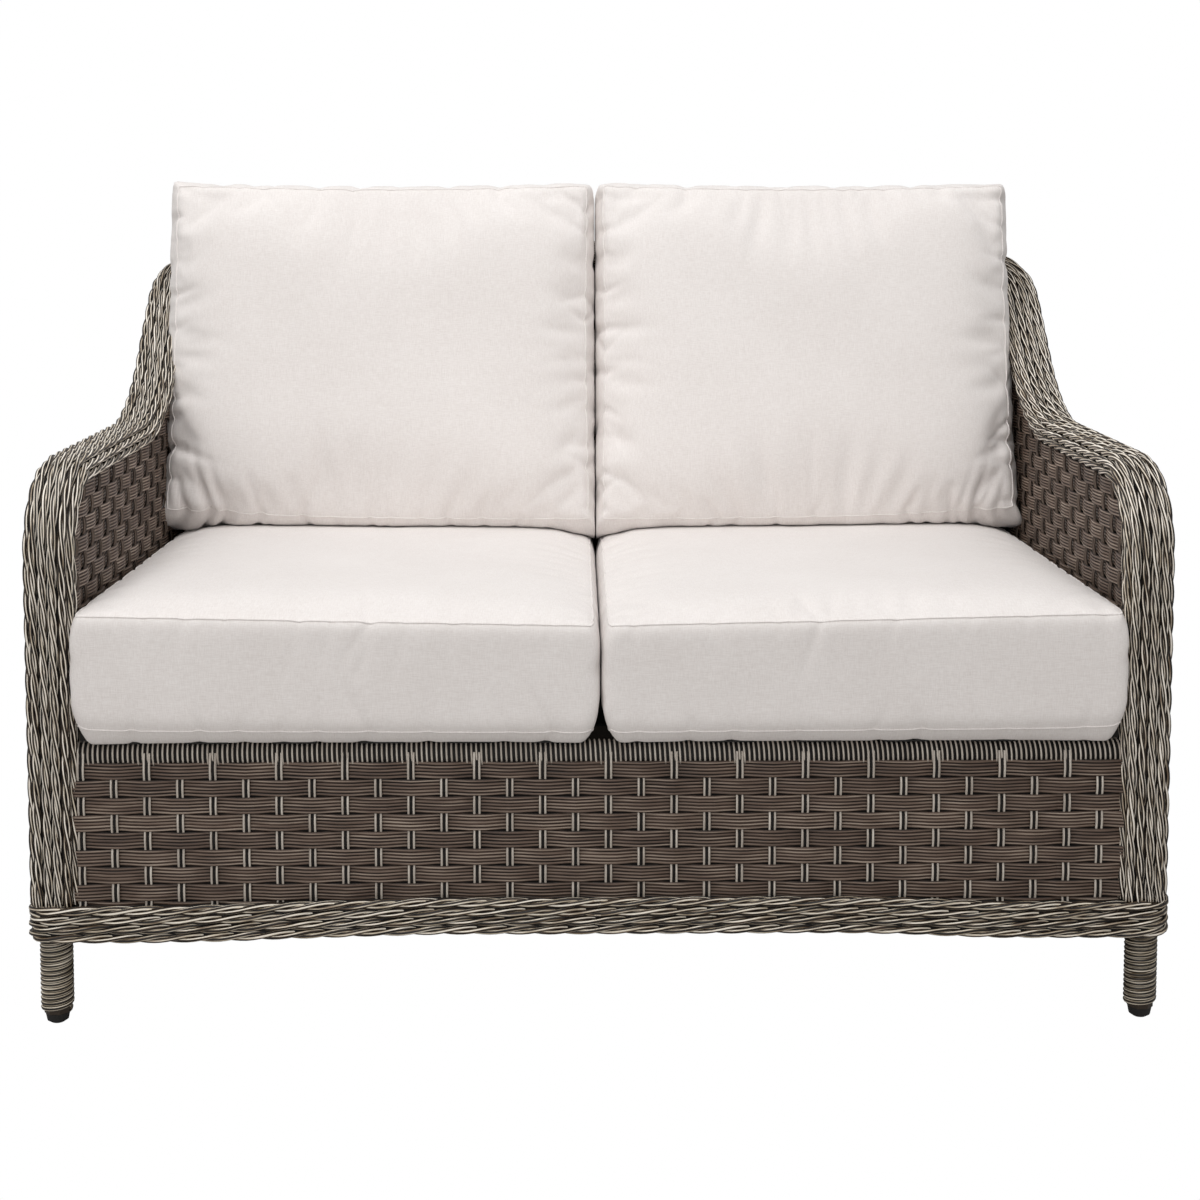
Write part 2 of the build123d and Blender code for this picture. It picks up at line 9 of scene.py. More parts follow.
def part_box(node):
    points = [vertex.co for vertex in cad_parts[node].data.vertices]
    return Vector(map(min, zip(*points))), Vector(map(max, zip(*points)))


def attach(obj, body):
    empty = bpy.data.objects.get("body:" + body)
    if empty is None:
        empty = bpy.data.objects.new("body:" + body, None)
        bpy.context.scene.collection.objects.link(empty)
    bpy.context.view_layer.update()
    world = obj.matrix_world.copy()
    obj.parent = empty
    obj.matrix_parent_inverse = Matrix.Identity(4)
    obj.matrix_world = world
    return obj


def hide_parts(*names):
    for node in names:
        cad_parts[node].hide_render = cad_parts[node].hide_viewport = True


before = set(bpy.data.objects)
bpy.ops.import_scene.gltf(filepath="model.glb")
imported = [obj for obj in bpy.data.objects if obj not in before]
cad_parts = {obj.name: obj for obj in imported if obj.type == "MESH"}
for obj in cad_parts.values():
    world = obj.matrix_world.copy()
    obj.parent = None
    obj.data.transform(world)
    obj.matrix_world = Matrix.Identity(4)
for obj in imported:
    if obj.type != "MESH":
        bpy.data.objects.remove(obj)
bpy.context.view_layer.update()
random = np.random.default_rng(7)

# Places of the frame, in metres, as the solid model has them
places = {
    "tubeX": 0.628,
    "postY": -0.396,
    "armZ": 0.624,
    "sweepY": 0.10685,
    "crestY": 0.27848,
    "crestZ": 0.79563,
    "topY": 0.38897,
    "topZ": 0.85193,
    "radii": (0.082, 0.277, 0.120, 0.095),
    "rimBottom": 0.104,
    "rimTop": 0.146,
    "skirtTop": 0.308,
    "deckTop": 0.3329,
    "rearPost": (0.600175, 0.364179),
    "backFoot": (0.22997, 0.3329),
    "backRake": math.radians(13.4294),
}
hands = ((-1, "left"), (1, "right"))
upward = np.array([0, 0, 1.0])


def linear(hexCode):
    channels = [int(hexCode[i:i + 2], 16) / 255 for i in (1, 3, 5)]
    return [c / 12.92 if c <= 0.04045 else ((c + 0.055) / 1.055) ** 2.4 for c in channels] + [1.0]


def setInputs(tree, node, inputs):
    for key, value in inputs.items():
        if isinstance(value, bpy.types.NodeSocket):
            tree.links.new(value, node.inputs[key])
        else:
            node.inputs[key].default_value = value


def addNode(tree, kind, inputs=None, **settings):
    node = tree.nodes.new("ShaderNode" + kind)
    for key, value in settings.items():
        setattr(node, key, value)
    setInputs(tree, node, inputs or {})
    return node


def mathNode(tree, operation, a, b=0.0):
    return addNode(tree, "Math", {0: a, 1: b}, operation=operation).outputs[0]


def weighted(tree, *terms):
    # Sum of sockets, each times its weight
    total = None
    for socket, weight in terms:
        part = mathNode(tree, "MULTIPLY", socket, weight)
        total = mathNode(tree, "ADD", total, part) if total is not None else part
    return total


def stretched(tree, vector, scales):
    return addNode(tree, "VectorMath", {0: vector, 1: scales}, operation="MULTIPLY").outputs[0]


def noise(tree, vector, detail, scale=1.0):
    return addNode(tree, "TexNoise", {"Vector": vector, "Scale": scale, "Detail": detail}).outputs["Fac"]


def bumped(tree, height, strength, distance):
    return addNode(tree, "Bump", {"Height": height, "Strength": strength, "Distance": distance}).outputs[0]


def ramp(tree, factor, stops):
    node = addNode(tree, "ValToRGB", {"Fac": factor})
    elements = node.color_ramp.elements
    while len(elements) < len(stops):
        elements.new(0.5)
    for element, (position, colour) in zip(elements, stops):
        element.position = position
        element.color = linear(colour)
    return node.outputs["Color"]


def newMaterial(name):
    material = bpy.data.materials.new(name)
    material.use_nodes = True
    tree = material.node_tree
    tree.nodes.clear()
    output = addNode(tree, "OutputMaterial")
    shader = addNode(tree, "BsdfPrincipled")
    tree.links.new(shader.outputs[0], output.inputs["Surface"])
    return material, tree, shader


# Looks: noise scales along and across, weight of each pattern, and strength and height of the bump
strandLook = {
    "stripeCount": 4.0, "stripeTurn": 6.3, "streakScales": (14.0, 0.9, 0.9), "streakScale": 1.6,
    "toneStep": 40.0, "ribScales": (2.0, 7.0, 7.0), "ribWeight": 0.35, "roughness": 0.42, "specular": 0.45,
    "bump": (0.35, 0.0004),
}
bandLook = {
    "streakScales": (14.0, 900.0, 7.0), "shadeScales": (18.0, 40.0, 13.0), "roughness": 0.5,
    "streakWeight": 0.6, "shadeWeight": 0.3, "ribWeight": 0.17, "toneWeight": 0.08,
    "bump": (0.5, 0.0003),
}
fabricLook = {
    "yarnFine": 1500.0, "yarnLong": 120.0, "shadeScale": 9.0, "yarnWeight": 0.45, "shadeWeight": 0.15,
    "darkAt": 0.36, "lightAt": 0.66, "bump": (0.25, 0.0004),
    "roughness": 0.9, "sheen": 0.25, "sheenRoughness": 0.5, "specular": 0.2,
}
plainLook = {"bump": (0.2, 0.0002), "roughSpread": 0.2, "darkAt": 0.3, "lightAt": 0.7}


def laidAttributes(tree):
    lay = addNode(tree, "Attribute", attribute_name="lay").outputs["Vector"]
    tone = addNode(tree, "Attribute", attribute_name="tone").outputs["Fac"]
    return lay, tone, addNode(tree, "SeparateXYZ", {0: lay}).outputs


def strandMaterial(name, stops, stripes, shift):
    # Extruded resin strand: stripes of two tones run along it, and each strand has its own tone
    material, tree, shader = newMaterial(name)
    look = strandLook
    lay, tone, axes = laidAttributes(tree)
    angle = mathNode(tree, "ARCTAN2", axes["Z"], axes["Y"])
    turned = weighted(tree, (angle, look["stripeCount"]), (tone, look["stripeTurn"]))
    stripe = mathNode(tree, "COSINE", turned)
    seed = addNode(tree, "CombineXYZ", {"X": mathNode(tree, "MULTIPLY", tone, look["toneStep"])}).outputs[0]
    wide = stretched(tree, lay, look["streakScales"])
    moved = addNode(tree, "VectorMath", {0: wide, 1: seed}, operation="ADD").outputs[0]
    streak = noise(tree, moved, 3.0, look["streakScale"])
    rib = noise(tree, stretched(tree, moved, look["ribScales"]), 1.0)
    level = weighted(
        tree, (streak, 1.0), (mathNode(tree, "SUBTRACT", tone, 0.5), shift), (stripe, stripes),
        (mathNode(tree, "SUBTRACT", rib, 0.5), look["ribWeight"]),
    )
    setInputs(tree, shader, {
        "Base Color": ramp(tree, level, stops), "Roughness": look["roughness"],
        "Normal": bumped(tree, rib, *look["bump"]), "Specular IOR Level": look["specular"],
    })
    return material


def bandMaterial(name, stops, tapeWidth):
    # Flat resin tape: fine ribs along it, with lighter and darker streaks
    material, tree, shader = newMaterial(name)
    look = bandLook
    lay, tone, axes = laidAttributes(tree)
    ribs = mathNode(tree, "COSINE", mathNode(tree, "MULTIPLY", axes["Y"], 2 * math.pi / tapeWidth))
    streak = noise(tree, stretched(tree, lay, look["streakScales"]), 2.0)
    shade = noise(tree, stretched(tree, lay, look["shadeScales"]), 2.0)
    level = weighted(
        tree, (streak, look["streakWeight"]), (shade, look["shadeWeight"]),
        (ribs, look["ribWeight"]), (tone, look["toneWeight"]),
    )
    setInputs(tree, shader, {
        "Base Color": ramp(tree, level, stops), "Roughness": look["roughness"],
        "Normal": bumped(tree, ribs, *look["bump"]),
    })
    return material


def fabricMaterial(name, light, dark):
    # Woven acrylic cushion cloth: plain weave of slightly uneven yarns, over a faint soft shade
    material, tree, shader = newMaterial(name)
    look = fabricLook
    where = addNode(tree, "TexCoord").outputs["Object"]
    fine, long = look["yarnFine"], look["yarnLong"]
    warp = noise(tree, stretched(tree, where, (fine, long, long)), 2.0)
    weft = noise(tree, stretched(tree, where, (long, fine, fine)), 2.0)
    yarn = mathNode(tree, "ADD", warp, weft)
    shade = noise(tree, where, 2.0, look["shadeScale"])
    level = weighted(tree, (yarn, look["yarnWeight"]), (shade, look["shadeWeight"]))
    setInputs(tree, shader, {
        "Base Color": ramp(tree, level, [(look["darkAt"], dark), (look["lightAt"], light)]),
        "Roughness": look["roughness"], "Normal": bumped(tree, yarn, *look["bump"]),
        "Sheen Weight": look["sheen"], "Sheen Roughness": look["sheenRoughness"],
        "Specular IOR Level": look["specular"],
    })
    return material


def plainMaterial(name, light, dark, roughness, scale, metallic=0.0):
    # Painted, moulded or coated surface with a fine uneven grain
    material, tree, shader = newMaterial(name)
    look = plainLook
    grain = noise(tree, addNode(tree, "TexCoord").outputs["Object"], 4.0, scale)
    spread = mathNode(tree, "MULTIPLY", grain, look["roughSpread"])
    setInputs(tree, shader, {
        "Base Color": ramp(tree, grain, [(look["darkAt"], dark), (look["lightAt"], light)]),
        "Roughness": mathNode(tree, "ADD", spread, roughness - look["roughSpread"] / 2),
        "Normal": bumped(tree, grain, *look["bump"]), "Metallic": metallic,
    })
    return material


braidStops = [(0.36, "#0b0603"), (0.49, "#493626"), (0.60, "#826f59"), (0.69, "#d6cbb6"), (0.80, "#faf3e8")]
wrapStops = [(0.35, "#0b0603"), (0.50, "#382d22"), (0.66, "#65563f"), (0.74, "#c4b7a1"), (0.84, "#e9e0d0")]
# Rim strands: the braid's colours made a little darker, which is painted shade for the rim
rimPaintedShadeStops = [(0.36, "#0b0603"), (0.49, "#463425"), (0.62, "#7c6954"), (0.73, "#d0c4ae"), (0.84, "#f6efe2")]
bandStops = [(0.24, "#1a120d"), (0.42, "#45362d"), (0.60, "#6b584b"), (0.80, "#b0a192")]
materials = {
    "braid": strandMaterial("resinStrandTwoTone", braidStops, 0.33, 0.12),
    "rimStrandPaintedShade": strandMaterial("resinStrandRimPaintedShade", rimPaintedShadeStops, 0.30, 0.12),
    "stake": strandMaterial("resinStakeLight", [(0.3, "#9c9084"), (0.7, "#ddd5ca")], 0.0, 0.1),
    "brownStake": strandMaterial("resinStakeBrown", [(0.3, "#2f241c"), (0.7, "#6f5f53")], 0.1, 0.15),
    "wrapStrand": strandMaterial("resinWrapStrand", wrapStops, 0.30, 0.10),
    "band": bandMaterial("resinTapeBrown", bandStops, 0.00385),
    # Near-black fill behind strands and tapes: painted shade for the gaps between them
    "paintedShadeFill": plainMaterial("darkCorePaintedShade", "#120d09", "#070504", 0.8, 300.0),
    "fabric": fabricMaterial("wovenAcrylicCloth", "#f0ebe8", "#e0d9d5"),
    "frame": plainMaterial("powderCoatedAluminium", "#40352b", "#2f261e", 0.4, 900.0, 0.3),
    # Seat webbing: dark strap colour, made darker still as painted shade under the seat cushion
    "webbing": plainMaterial("seatWebbingAndPaintedShade", "#1e1b19", "#100e0d", 0.8, 700.0),
    "glide": plainMaterial("mouldedGlideRubber", "#1c1b1a", "#0d0c0c", 0.6, 600.0),
}
print("materials made")


def linkPiece(name, mesh, material, replaced, body="frame"):
    piece = bpy.data.objects.new(name, mesh)
    bpy.context.scene.collection.objects.link(piece)
    mesh.materials.clear()
    mesh.materials.append(materials[material])
    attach(piece, body)
    if replaced:
        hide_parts(*replaced)


def flatData(values):
    return np.asarray(values, np.float32).ravel()


def faceOutwards(mesh):
    form = bmesh.new()
    form.from_mesh(mesh)
    bmesh.ops.recalc_face_normals(form, faces=form.faces)
    form.to_mesh(mesh)
    form.free()


def meshFrom(name, verts, faces):
    mesh = bpy.data.meshes.new(name)
    mesh.from_pydata(verts.tolist(), [], faces)
    faceOutwards(mesh)
    return mesh


def laidMesh(name, rings, faces, lays, tones):
    # Mesh with the place of each point along and round its strand, and each strand's own tone
    mesh = meshFrom(name, np.vstack(rings), faces)
    lay, tone = flatData(np.vstack(lays)), flatData(np.concatenate(tones))
    mesh.attributes.new("lay", "FLOAT_VECTOR", "POINT").data.foreach_set("vector", lay)
    mesh.attributes.new("tone", "FLOAT", "POINT").data.foreach_set("value", tone)
    return mesh


def meshOf(name, form):
    mesh = bpy.data.meshes.new(name)
    form.to_mesh(mesh)
    form.free()
    return mesh


def unit(vectors):
    return vectors / np.linalg.norm(vectors, axis=-1, keepdims=True)


def lengthsAlong(points):
    return np.concatenate([[0.0], np.cumsum(np.linalg.norm(np.diff(points, axis=0), axis=1))])


def closedTangents(points):
    return unit(np.roll(points, -1, axis=0) - np.roll(points, 1, axis=0))


def swept(points, across, outward, profile):
    # A section set up at each point of a path
    wide = across[:, None, :] * profile[None, :, 0:1]
    return (points[:, None, :] + wide + outward[:, None, :] * profile[None, :, 1:2]).reshape(-1, 3)


def laid(along, first, second):
    # Places along and round a strand, for the materials
    return np.stack(np.broadcast_arrays(along[:, None], first, second), axis=-1).reshape(-1, 3)


def tubeFaces(rings, width, start=0, closed=False):
    # Faces of a closed section along a path, which ends in two caps or is a loop
    ring = np.arange(rings if closed else rings - 1)[:, None]
    spot = np.arange(width)[None, :]
    here, ahead, after = ring * width, (ring + 1) % rings * width, (spot + 1) % width
    quads = np.stack([here + spot, here + after, ahead + after, ahead + spot], axis=-1)
    faces = (quads.reshape(-1, 4) + start).tolist()
    if not closed:
        last = start + (rings - 1) * width
        faces += [list(range(start, start + width)), list(range(last, last + width))]
    return faces


def addStrands(name, strands, settings, material, replaced, body="frame"):
    # Strands as one piece. Each is a list of points with its outward and sideways directions
    sides, closed = settings["sides"], settings.get("closed", False)
    angles = np.arange(sides) * 2 * math.pi / sides
    circle = np.stack([np.cos(angles), np.sin(angles)], axis=1)
    reach = settings["strand"] * (1 - settings.get("ridge", 0.0) * (np.arange(sides) % 2))
    rings, faces, lays, tones, start = [], [], [], [], 0
    for points, normals, across in strands:
        rings.append(swept(points, across, normals, circle * reach[:, None]))
        lays.append(laid(lengthsAlong(points), *circle.T))
        tones.append(np.full(len(rings[-1]), random.random()))
        faces += tubeFaces(len(points), sides, start, closed)
        start += len(rings[-1])
    mesh = laidMesh(name, rings, faces, lays, tones)
    mesh.shade_smooth()
    linkPiece(name, mesh, material, replaced, body)


def filleted(corners, radii, step):
    # Evenly spaced points along straight runs that tangent arcs join
    corners = [Vector(c) for c in corners]
    dense = [corners[0]]
    for before, corner, after, radius in zip(corners, corners[1:], corners[2:], radii):
        u = (before - corner).normalized()
        w = (after - corner).normalized()
        half = u.angle(w) / 2
        reach = radius / math.tan(half)
        start = corner + u * reach
        centre = corner + (u + w).normalized() * (radius / math.sin(half))
        spoke = start - centre
        axis = u.cross(w).normalized() * -1
        dense.append(start)
        turn = math.pi - 2 * half
        for share in np.linspace(0, 1, 41)[1:]:
            dense.append(centre + Matrix.Rotation(turn * share, 3, axis) @ spoke)
    dense.append(corners[-1])
    dense = np.array([list(p) for p in dense])
    keepers = np.concatenate([[True], np.linalg.norm(np.diff(dense, axis=0), axis=1) > 1e-6])
    return resampled(dense[keepers], step)


def resampled(points, step):
    along = lengthsAlong(points)
    count = max(2, int(round(along[-1] / step)) + 1)
    wanted = np.linspace(0, along[-1], count)
    return np.stack([np.interp(wanted, along, points[:, k]) for k in range(3)], axis=1)


def carried(points, outward):
    # Frames along a path: an outward direction carried along it, and the side direction
    tangents = unit(np.gradient(points, axis=0))
    normals = np.zeros_like(points)
    normal = np.array(outward, float)
    for i, tangent in enumerate(tangents):
        normal = normal - tangent * normal.dot(tangent)
        normal /= np.linalg.norm(normal)
        normals[i] = normal
    return normals, np.cross(tangents, normals)


def ropeStrands(points, normals, sides, spots, rope):
    # Three strands twisted together at each spot of the section
    along = lengthsAlong(points)
    total = along[-1]
    if rope.get("closed"):
        total += np.linalg.norm(points[0] - points[-1])
        turns = round(total / rope["lay"])
    else:
        turns = total / rope["lay"]
    strands = []
    for index, (u, v) in enumerate(spots):
        phase = index * rope["stagger"] + rope["jitter"] * random.random()
        for strand in range(rope["ply"]):
            angle = 2 * math.pi * (turns * along / total + strand / rope["ply"]) + phase
            across = u + rope["twist"] * np.cos(angle)
            out = v + rope["twist"] * np.sin(angle)
            strands.append((points + sides * across[:, None] + normals * out[:, None], normals, sides))
    return strands


# Braid: ropes of three strands over the posts, arms, shoulders and top rail
braid = {
    "width": 0.058, "depth": 0.052, "corner": 0.0102, "ropes": 10, "innerRise": 0.021, "step": 0.0062,
    "outlineStep": 0.0005,
    "strand": 0.0027, "twist": 0.0028, "ply": 3, "lay": 0.092, "stagger": 1.9, "jitter": 1.6,
    "sides": 10, "ridge": 0.1, "inset": 0.003, "foot": 0.003, "joinX": 0.493,
    "core": (
        (-0.0205, -0.0245), (-0.0205, 0.012), (-0.014, 0.0185), (0.014, 0.0185),
        (0.0205, 0.012), (0.0205, 0.001), (0.0150, -0.004), (0.0150, -0.0245),
    ),
}


def armCorners(side, low):
    x = side * (places["tubeX"] - braid["inset"])
    return [
        (x, places["postY"], low),
        (x, places["postY"], places["armZ"]),
        (x, places["sweepY"], places["armZ"]),
        (x, places["crestY"], places["crestZ"]),
        (x, places["topY"], places["topZ"]),
    ]


def braidSpots():
    inset = braid["strand"] + braid["twist"]
    w = braid["width"] / 2 - inset
    d = braid["depth"] / 2 - inset
    inner = -d + braid["innerRise"]
    bends = [(-w, -d, 0), (-w, d, 0), (w, d, 0), (w, inner, 0)]
    outline = filleted(bends, [braid["corner"]] * 2, braid["outlineStep"])
    picks = np.linspace(0, len(outline) - 1, braid["ropes"]).astype(int)
    return outline[picks, :2]


postLow = places["rimTop"] - braid["foot"]
corners = armCorners(-1, postLow) + armCorners(1, postLow)[::-1]
route = filleted(corners, places["radii"] + places["radii"][::-1], braid["step"])
normals, sides = carried(route, (0, -1, 0))
strands = ropeStrands(route, normals, sides, braidSpots(), braid)
leftEnd = int(np.argmax((route[:, 0] > -braid["joinX"]) & (route[:, 1] > places["crestY"])))
rightStart = len(route) - 1 - leftEnd
spans = {
    "arm_braid_left": (0, leftEnd + 1),
    "top_rail_braid": (leftEnd, rightStart + 1),
    "arm_braid_right": (rightStart, len(route)),
}
for node, (start, stop) in spans.items():
    span = slice(start, stop)
    cut = [(points[span], outward[span], across[span]) for points, outward, across in strands]
    addStrands(node + "Strands", cut, braid, "braid", [node])
    # Near-black core inside each braid: painted shade in the gaps between its ropes
    core = swept(route[span], sides[span], normals[span], np.array(braid["core"]))
    mesh = meshFrom(node + "Core", core, tubeFaces(stop - start, len(braid["core"])))
    linkPiece(node + "Core", mesh, "paintedShadeFill", [node])
print("braids made", len(route))

# Rim: four ropes round the base, with rounded corners and a slight lift at the front middle
rim = {
    "ropes": 4, "step": 0.0075, "strand": 0.0029, "twist": 0.0030, "ply": 3, "lay": 0.105,
    "stagger": 0.0, "jitter": 6.2, "closed": True, "frontRadius": 0.034, "rearRadius": 0.121,
    "sides": 12, "ridge": 0.1, "coreLow": 0.003, "coreHigh": 0.002, "coreDepths": (0.001, -0.0125),
    "lifts": (
        (-0.66, -0.003), (-0.52, -0.0032), (-0.43, -0.0018), (-0.36, 0.0008), (-0.27, 0.0033),
        (-0.18, 0.0052), (-0.05, 0.0047), (0.2, 0.0048), (0.29, 0.0045), (0.35, 0.0028),
        (0.4, 0.0004), (0.45, -0.0018), (0.54, -0.0025), (0.66, -0.0025),
    ),
    "liftFrom": -0.3, "liftOver": 0.1,
}
rimLow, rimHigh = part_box("rim_braid_front")
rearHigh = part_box("rim_braid_rear")[1]
inset = rim["strand"] + rim["twist"]
x, front, rear = rimHigh.x - inset, rimLow.y + inset, rearHigh.y - inset
frontRadius, rearRadius = rim["frontRadius"] - inset, rim["rearRadius"] - inset
loop = filleted(
    [(0, front, 0), (x, front, 0), (x, rear, 0), (-x, rear, 0), (-x, front, 0), (0, front, 0)],
    [frontRadius, rearRadius, rearRadius, frontRadius], rim["step"],
)[:-1]
tangents = closedTangents(loop)
normals = np.cross(-upward, tangents)
sides = np.cross(tangents, normals)


def rimLift(points):
    # The front of the rim rises a little towards its middle, unevenly, as it was woven
    spots, lifts = zip(*rim["lifts"])
    share = np.clip((rim["liftFrom"] - points[:, 1]) / rim["liftOver"], 0, 1)
    return np.interp(points[:, 0], spots, lifts) * share


strands = []
height = (places["rimTop"] - places["rimBottom"]) / rim["ropes"]
for row in range(rim["ropes"]):
    level = loop.copy()
    level[:, 2] = places["rimBottom"] + height * (row + 0.5) + rimLift(level)
    strands += ropeStrands(level, normals, sides, [(0.0, 0.0)], rim)
rimNodes = ["rim_braid_front", "rim_braid_rear", "rim_braid_left", "rim_braid_right"]
addStrands("rimStrands", strands, rim, "rimStrandPaintedShade", rimNodes)

# Dark band behind the rim ropes closes the gaps between the strands, and to the weave inside; its
# near-black colour is painted shade in those gaps
low, high = places["rimBottom"] + rim["coreLow"], places["rimTop"] - rim["coreHigh"]
near, far = rim["coreDepths"]
section = np.array([(low, near), (low, far), (high, far), (high, near)])
level = loop + upward * rimLift(loop)[:, None]
core = swept(level, np.broadcast_to(upward, loop.shape), normals, section)
mesh = meshFrom("rimCore", core, tubeFaces(len(loop), len(section), closed=True))
linkPiece("rimCore", mesh, "paintedShadeFill", rimNodes)
print("rim made")

# Weave: ribbed tapes in rows that pass over and under pairs of stakes
weave = {
    "pitch": 0.0376, "rowHeight": 0.02025, "amplitude": 0.0024, "tapes": 5, "ridge": 0.0010,
    "step": 4, "gap": 0.0005, "stake": 0.00135, "spread": 0.0030, "stakeWave": 0.0016, "backing": 0.0042,
    "groove": 0.16, "thickness": 1.9, "spare": 0.2, "wobble": 0.00025, "layStep": 3.7, "shortEnd": -0.6,
    "gapDepth": 0.0009, "linerFoot": 0.012, "liner": 0.001, "lightSides": 6, "darkSides": 4,
}


def tapeProfile():
    # Section of one row: its tapes side by side, with a groove between each two
    half = weave["rowHeight"] / 2 - weave["gap"]
    width = 2 * half / weave["tapes"]
    groove, thick = weave["groove"], weave["thickness"] * weave["ridge"]
    front = [(-half, -weave["ridge"])]
    for tape in range(weave["tapes"]):
        low = -half + tape * width
        front += [(low + groove * width, 0.0), (low + (1 - groove) * width, 0.0)]
        front.append((low + width, -weave["ridge"]))
    return np.array(front + [(half, -thick), (-half, -thick)])


def weaveRows(name, node, path, outward, up, low, tops, stake, first=0, reach=0.0, lowest=-1):
    # path: points at a quarter of the stake pitch. tops: height of the panel at each point.
    # first: how many points the path starts after a stake. reach: how far the stakes run on
    profile = tapeProfile()
    width, count = len(profile), len(path)
    outward, up = np.broadcast_to(outward, path.shape), np.broadcast_to(up, path.shape)
    tops = np.broadcast_to(tops, count)
    rowHeight, step = weave["rowHeight"], weave["step"]
    rows = int(math.ceil((tops.max() - low) / rowHeight))
    rings, faces, lays, tones, start = [], [], [], [], 0
    index = np.arange(count) + first
    for row in range(lowest, rows):
        middle = low + (row + 0.5) * rowHeight
        inside = np.nonzero(tops >= middle - weave["spare"] * rowHeight)[0]
        if len(inside) < 3:
            continue
        for run in np.split(inside, np.nonzero(np.diff(inside) > 1)[0] + 1):
            if len(run) < 3:
                continue
            wave = weave["amplitude"] * np.cos(math.pi * (index[run] / step + row))
            wobble = weave["wobble"] * random.standard_normal(len(run))
            base = path[run] + up[run] * middle + outward[run] * (wave + wobble)[:, None]
            rings.append(swept(base, up[run], outward[run], profile))
            along = run * weave["pitch"] / step
            lays.append(laid(along, profile[:, 0], row * weave["layStep"]))
            tones.append(np.full(len(rings[-1]), random.random()))
            faces += tubeFaces(len(run), width, start)
            start += len(rings[-1])
    mesh = laidMesh(name, rings, faces, lays, tones)
    linkPiece(name, mesh, "band", [node])
    outer, inner = [], []
    for at in range(-first % step, count, step):
        if tops[at] - low < rowHeight:
            continue
        place = (at + first) // step
        end = tops[at] + reach * (1.0 if (rows + place) % 2 == 0 else weave["shortEnd"])
        levels = np.arange(low + lowest * rowHeight / 2, end, rowHeight / 4)
        rowPlace = (levels - low) / rowHeight - 0.5
        swing = -weave["stakeWave"] * np.cos(math.pi * (rowPlace + place))
        tangent = np.cross(up[at], outward[at])
        for side in (-1, 0, 1):
            spot = path[at] + tangent * side * weave["spread"]
            out = swing - weave["gapDepth"] * (side == 0)
            line = spot + up[at] * levels[:, None] + outward[at] * out[:, None]
            turned = [np.broadcast_to(v, line.shape) for v in (outward[at], tangent)]
            (outer if side else inner).append((line, *turned))
    # The middle strand of each stake pair is near-black: painted shade in the gap between the two stakes
    fine = weave["lightSides"] if stake == "stake" else weave["darkSides"]
    for suffix, strands, sides, look in (
        ("Stakes", outer, fine, stake), ("StakeGapPaintedShade", inner, weave["darkSides"], "paintedShadeFill"),
    ):
        made = {"strand": weave["stake"], "sides": sides}
        addStrands(name + suffix, strands, made, look, [node])
    # Dark liner behind the rows, so that nothing shines through between them; its near-black colour is
    # painted shade between the rows
    foot = low + lowest * weave["linerFoot"]
    near, far = weave["backing"], weave["backing"] + weave["liner"]
    liner = [
        path[i] + up[i] * z - outward[i] * depth
        for i in range(count) for z, depth in ((foot, near), (foot, far), (tops[i], far), (tops[i], near))
    ]
    mesh = meshFrom(name + "Liner", np.array(liner), tubeFaces(count, 4))
    linkPiece(name + "Liner", mesh, "paintedShadeFill", [node])


def flatPath(start, stop, pitchStep, shift=0.0):
    # Points from start to stop, and where the first lies from a stake near the middle
    start, stop = np.array(start, float), np.array(stop, float)
    length = np.linalg.norm(stop - start)
    low = -int((length / 2 + shift) / pitchStep)
    high = int((length / 2 - shift) / pitchStep)
    offsets = np.arange(low, high + 1) * pitchStep + shift
    return (start + stop) / 2 + (stop - start) / length * offsets[:, None], low


quarter = weave["pitch"] / weave["step"]
tubeX = places["tubeX"]

# Front skirt, with light stakes
skirt = {"out": 0.0137, "end": 0.603, "shift": 0.0087, "stakeReach": 0.0135}
skirtY = places["postY"] - skirt["out"]
path, first = flatPath((-skirt["end"], skirtY, 0), (skirt["end"], skirtY, 0), quarter, skirt["shift"])
weaveRows(
    "skirtWeave", "front_skirt_weave", path, (0, -1.0, 0), upward, places["rimTop"],
    places["skirtTop"], "stake", first, skirt["stakeReach"],
)

# Underside line of the braid, as heights over y
sideSkin = {
    "outerOut": 0.0173, "innerIn": 0.0212, "frontGap": 0.02, "underBraid": 0.004, "lineStep": 0.004,
    "innerFront": 0.016, "innerRear": 0.004, "innerRise": 0.016,
}
armLine = filleted(armCorners(1, 0.0), places["radii"][:3], sideSkin["lineStep"])
armNormals, _ = carried(armLine, (0, -1, 0))
underLine = armLine - armNormals * (braid["depth"] / 2 - sideSkin["underBraid"])
frontY = places["postY"] + sideSkin["frontGap"]
underLine = underLine[underLine[:, 1] > frontY]
underY, underZ = underLine[np.argsort(underLine[:, 1]), 1:].T


def topOver(y):
    return np.interp(y, underY, underZ)


# Outer skins: one path from the left front round both rear corners to the right front
x, rear = tubeX + sideSkin["outerOut"], places["topY"] + sideSkin["outerOut"]
corner = places["radii"][3] + sideSkin["outerOut"]
outer = filleted([(-x, frontY, 0), (-x, rear, 0), (x, rear, 0), (x, frontY, 0)], [corner] * 2, quarter)
steps = unit(np.gradient(outer, axis=0))
outNormal = np.cross(steps, upward) * -1
sideBreak = int(np.argmax(outer[:, 1] > places["topY"] - places["radii"][3]))
sideBreak -= sideBreak % weave["step"]
lastBreak = len(outer) - 1 - sideBreak
lastBreak -= lastBreak % weave["step"]
for name, node, start, stop in (
    ("outerWeaveLeft", "outer_weave_left", 0, sideBreak),
    ("outerWeaveRear", "back_weave_outer", sideBreak, lastBreak),
    ("outerWeaveRight", "outer_weave_right", lastBreak, len(outer) - 1),
):
    span = slice(start, stop + 1)
    weaveRows(
        name, node, outer[span], outNormal[span], upward, places["rimTop"],
        topOver(outer[span, 1]), "brownStake", start,
    )
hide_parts("rear_corner_weave_left", "rear_corner_weave_right")

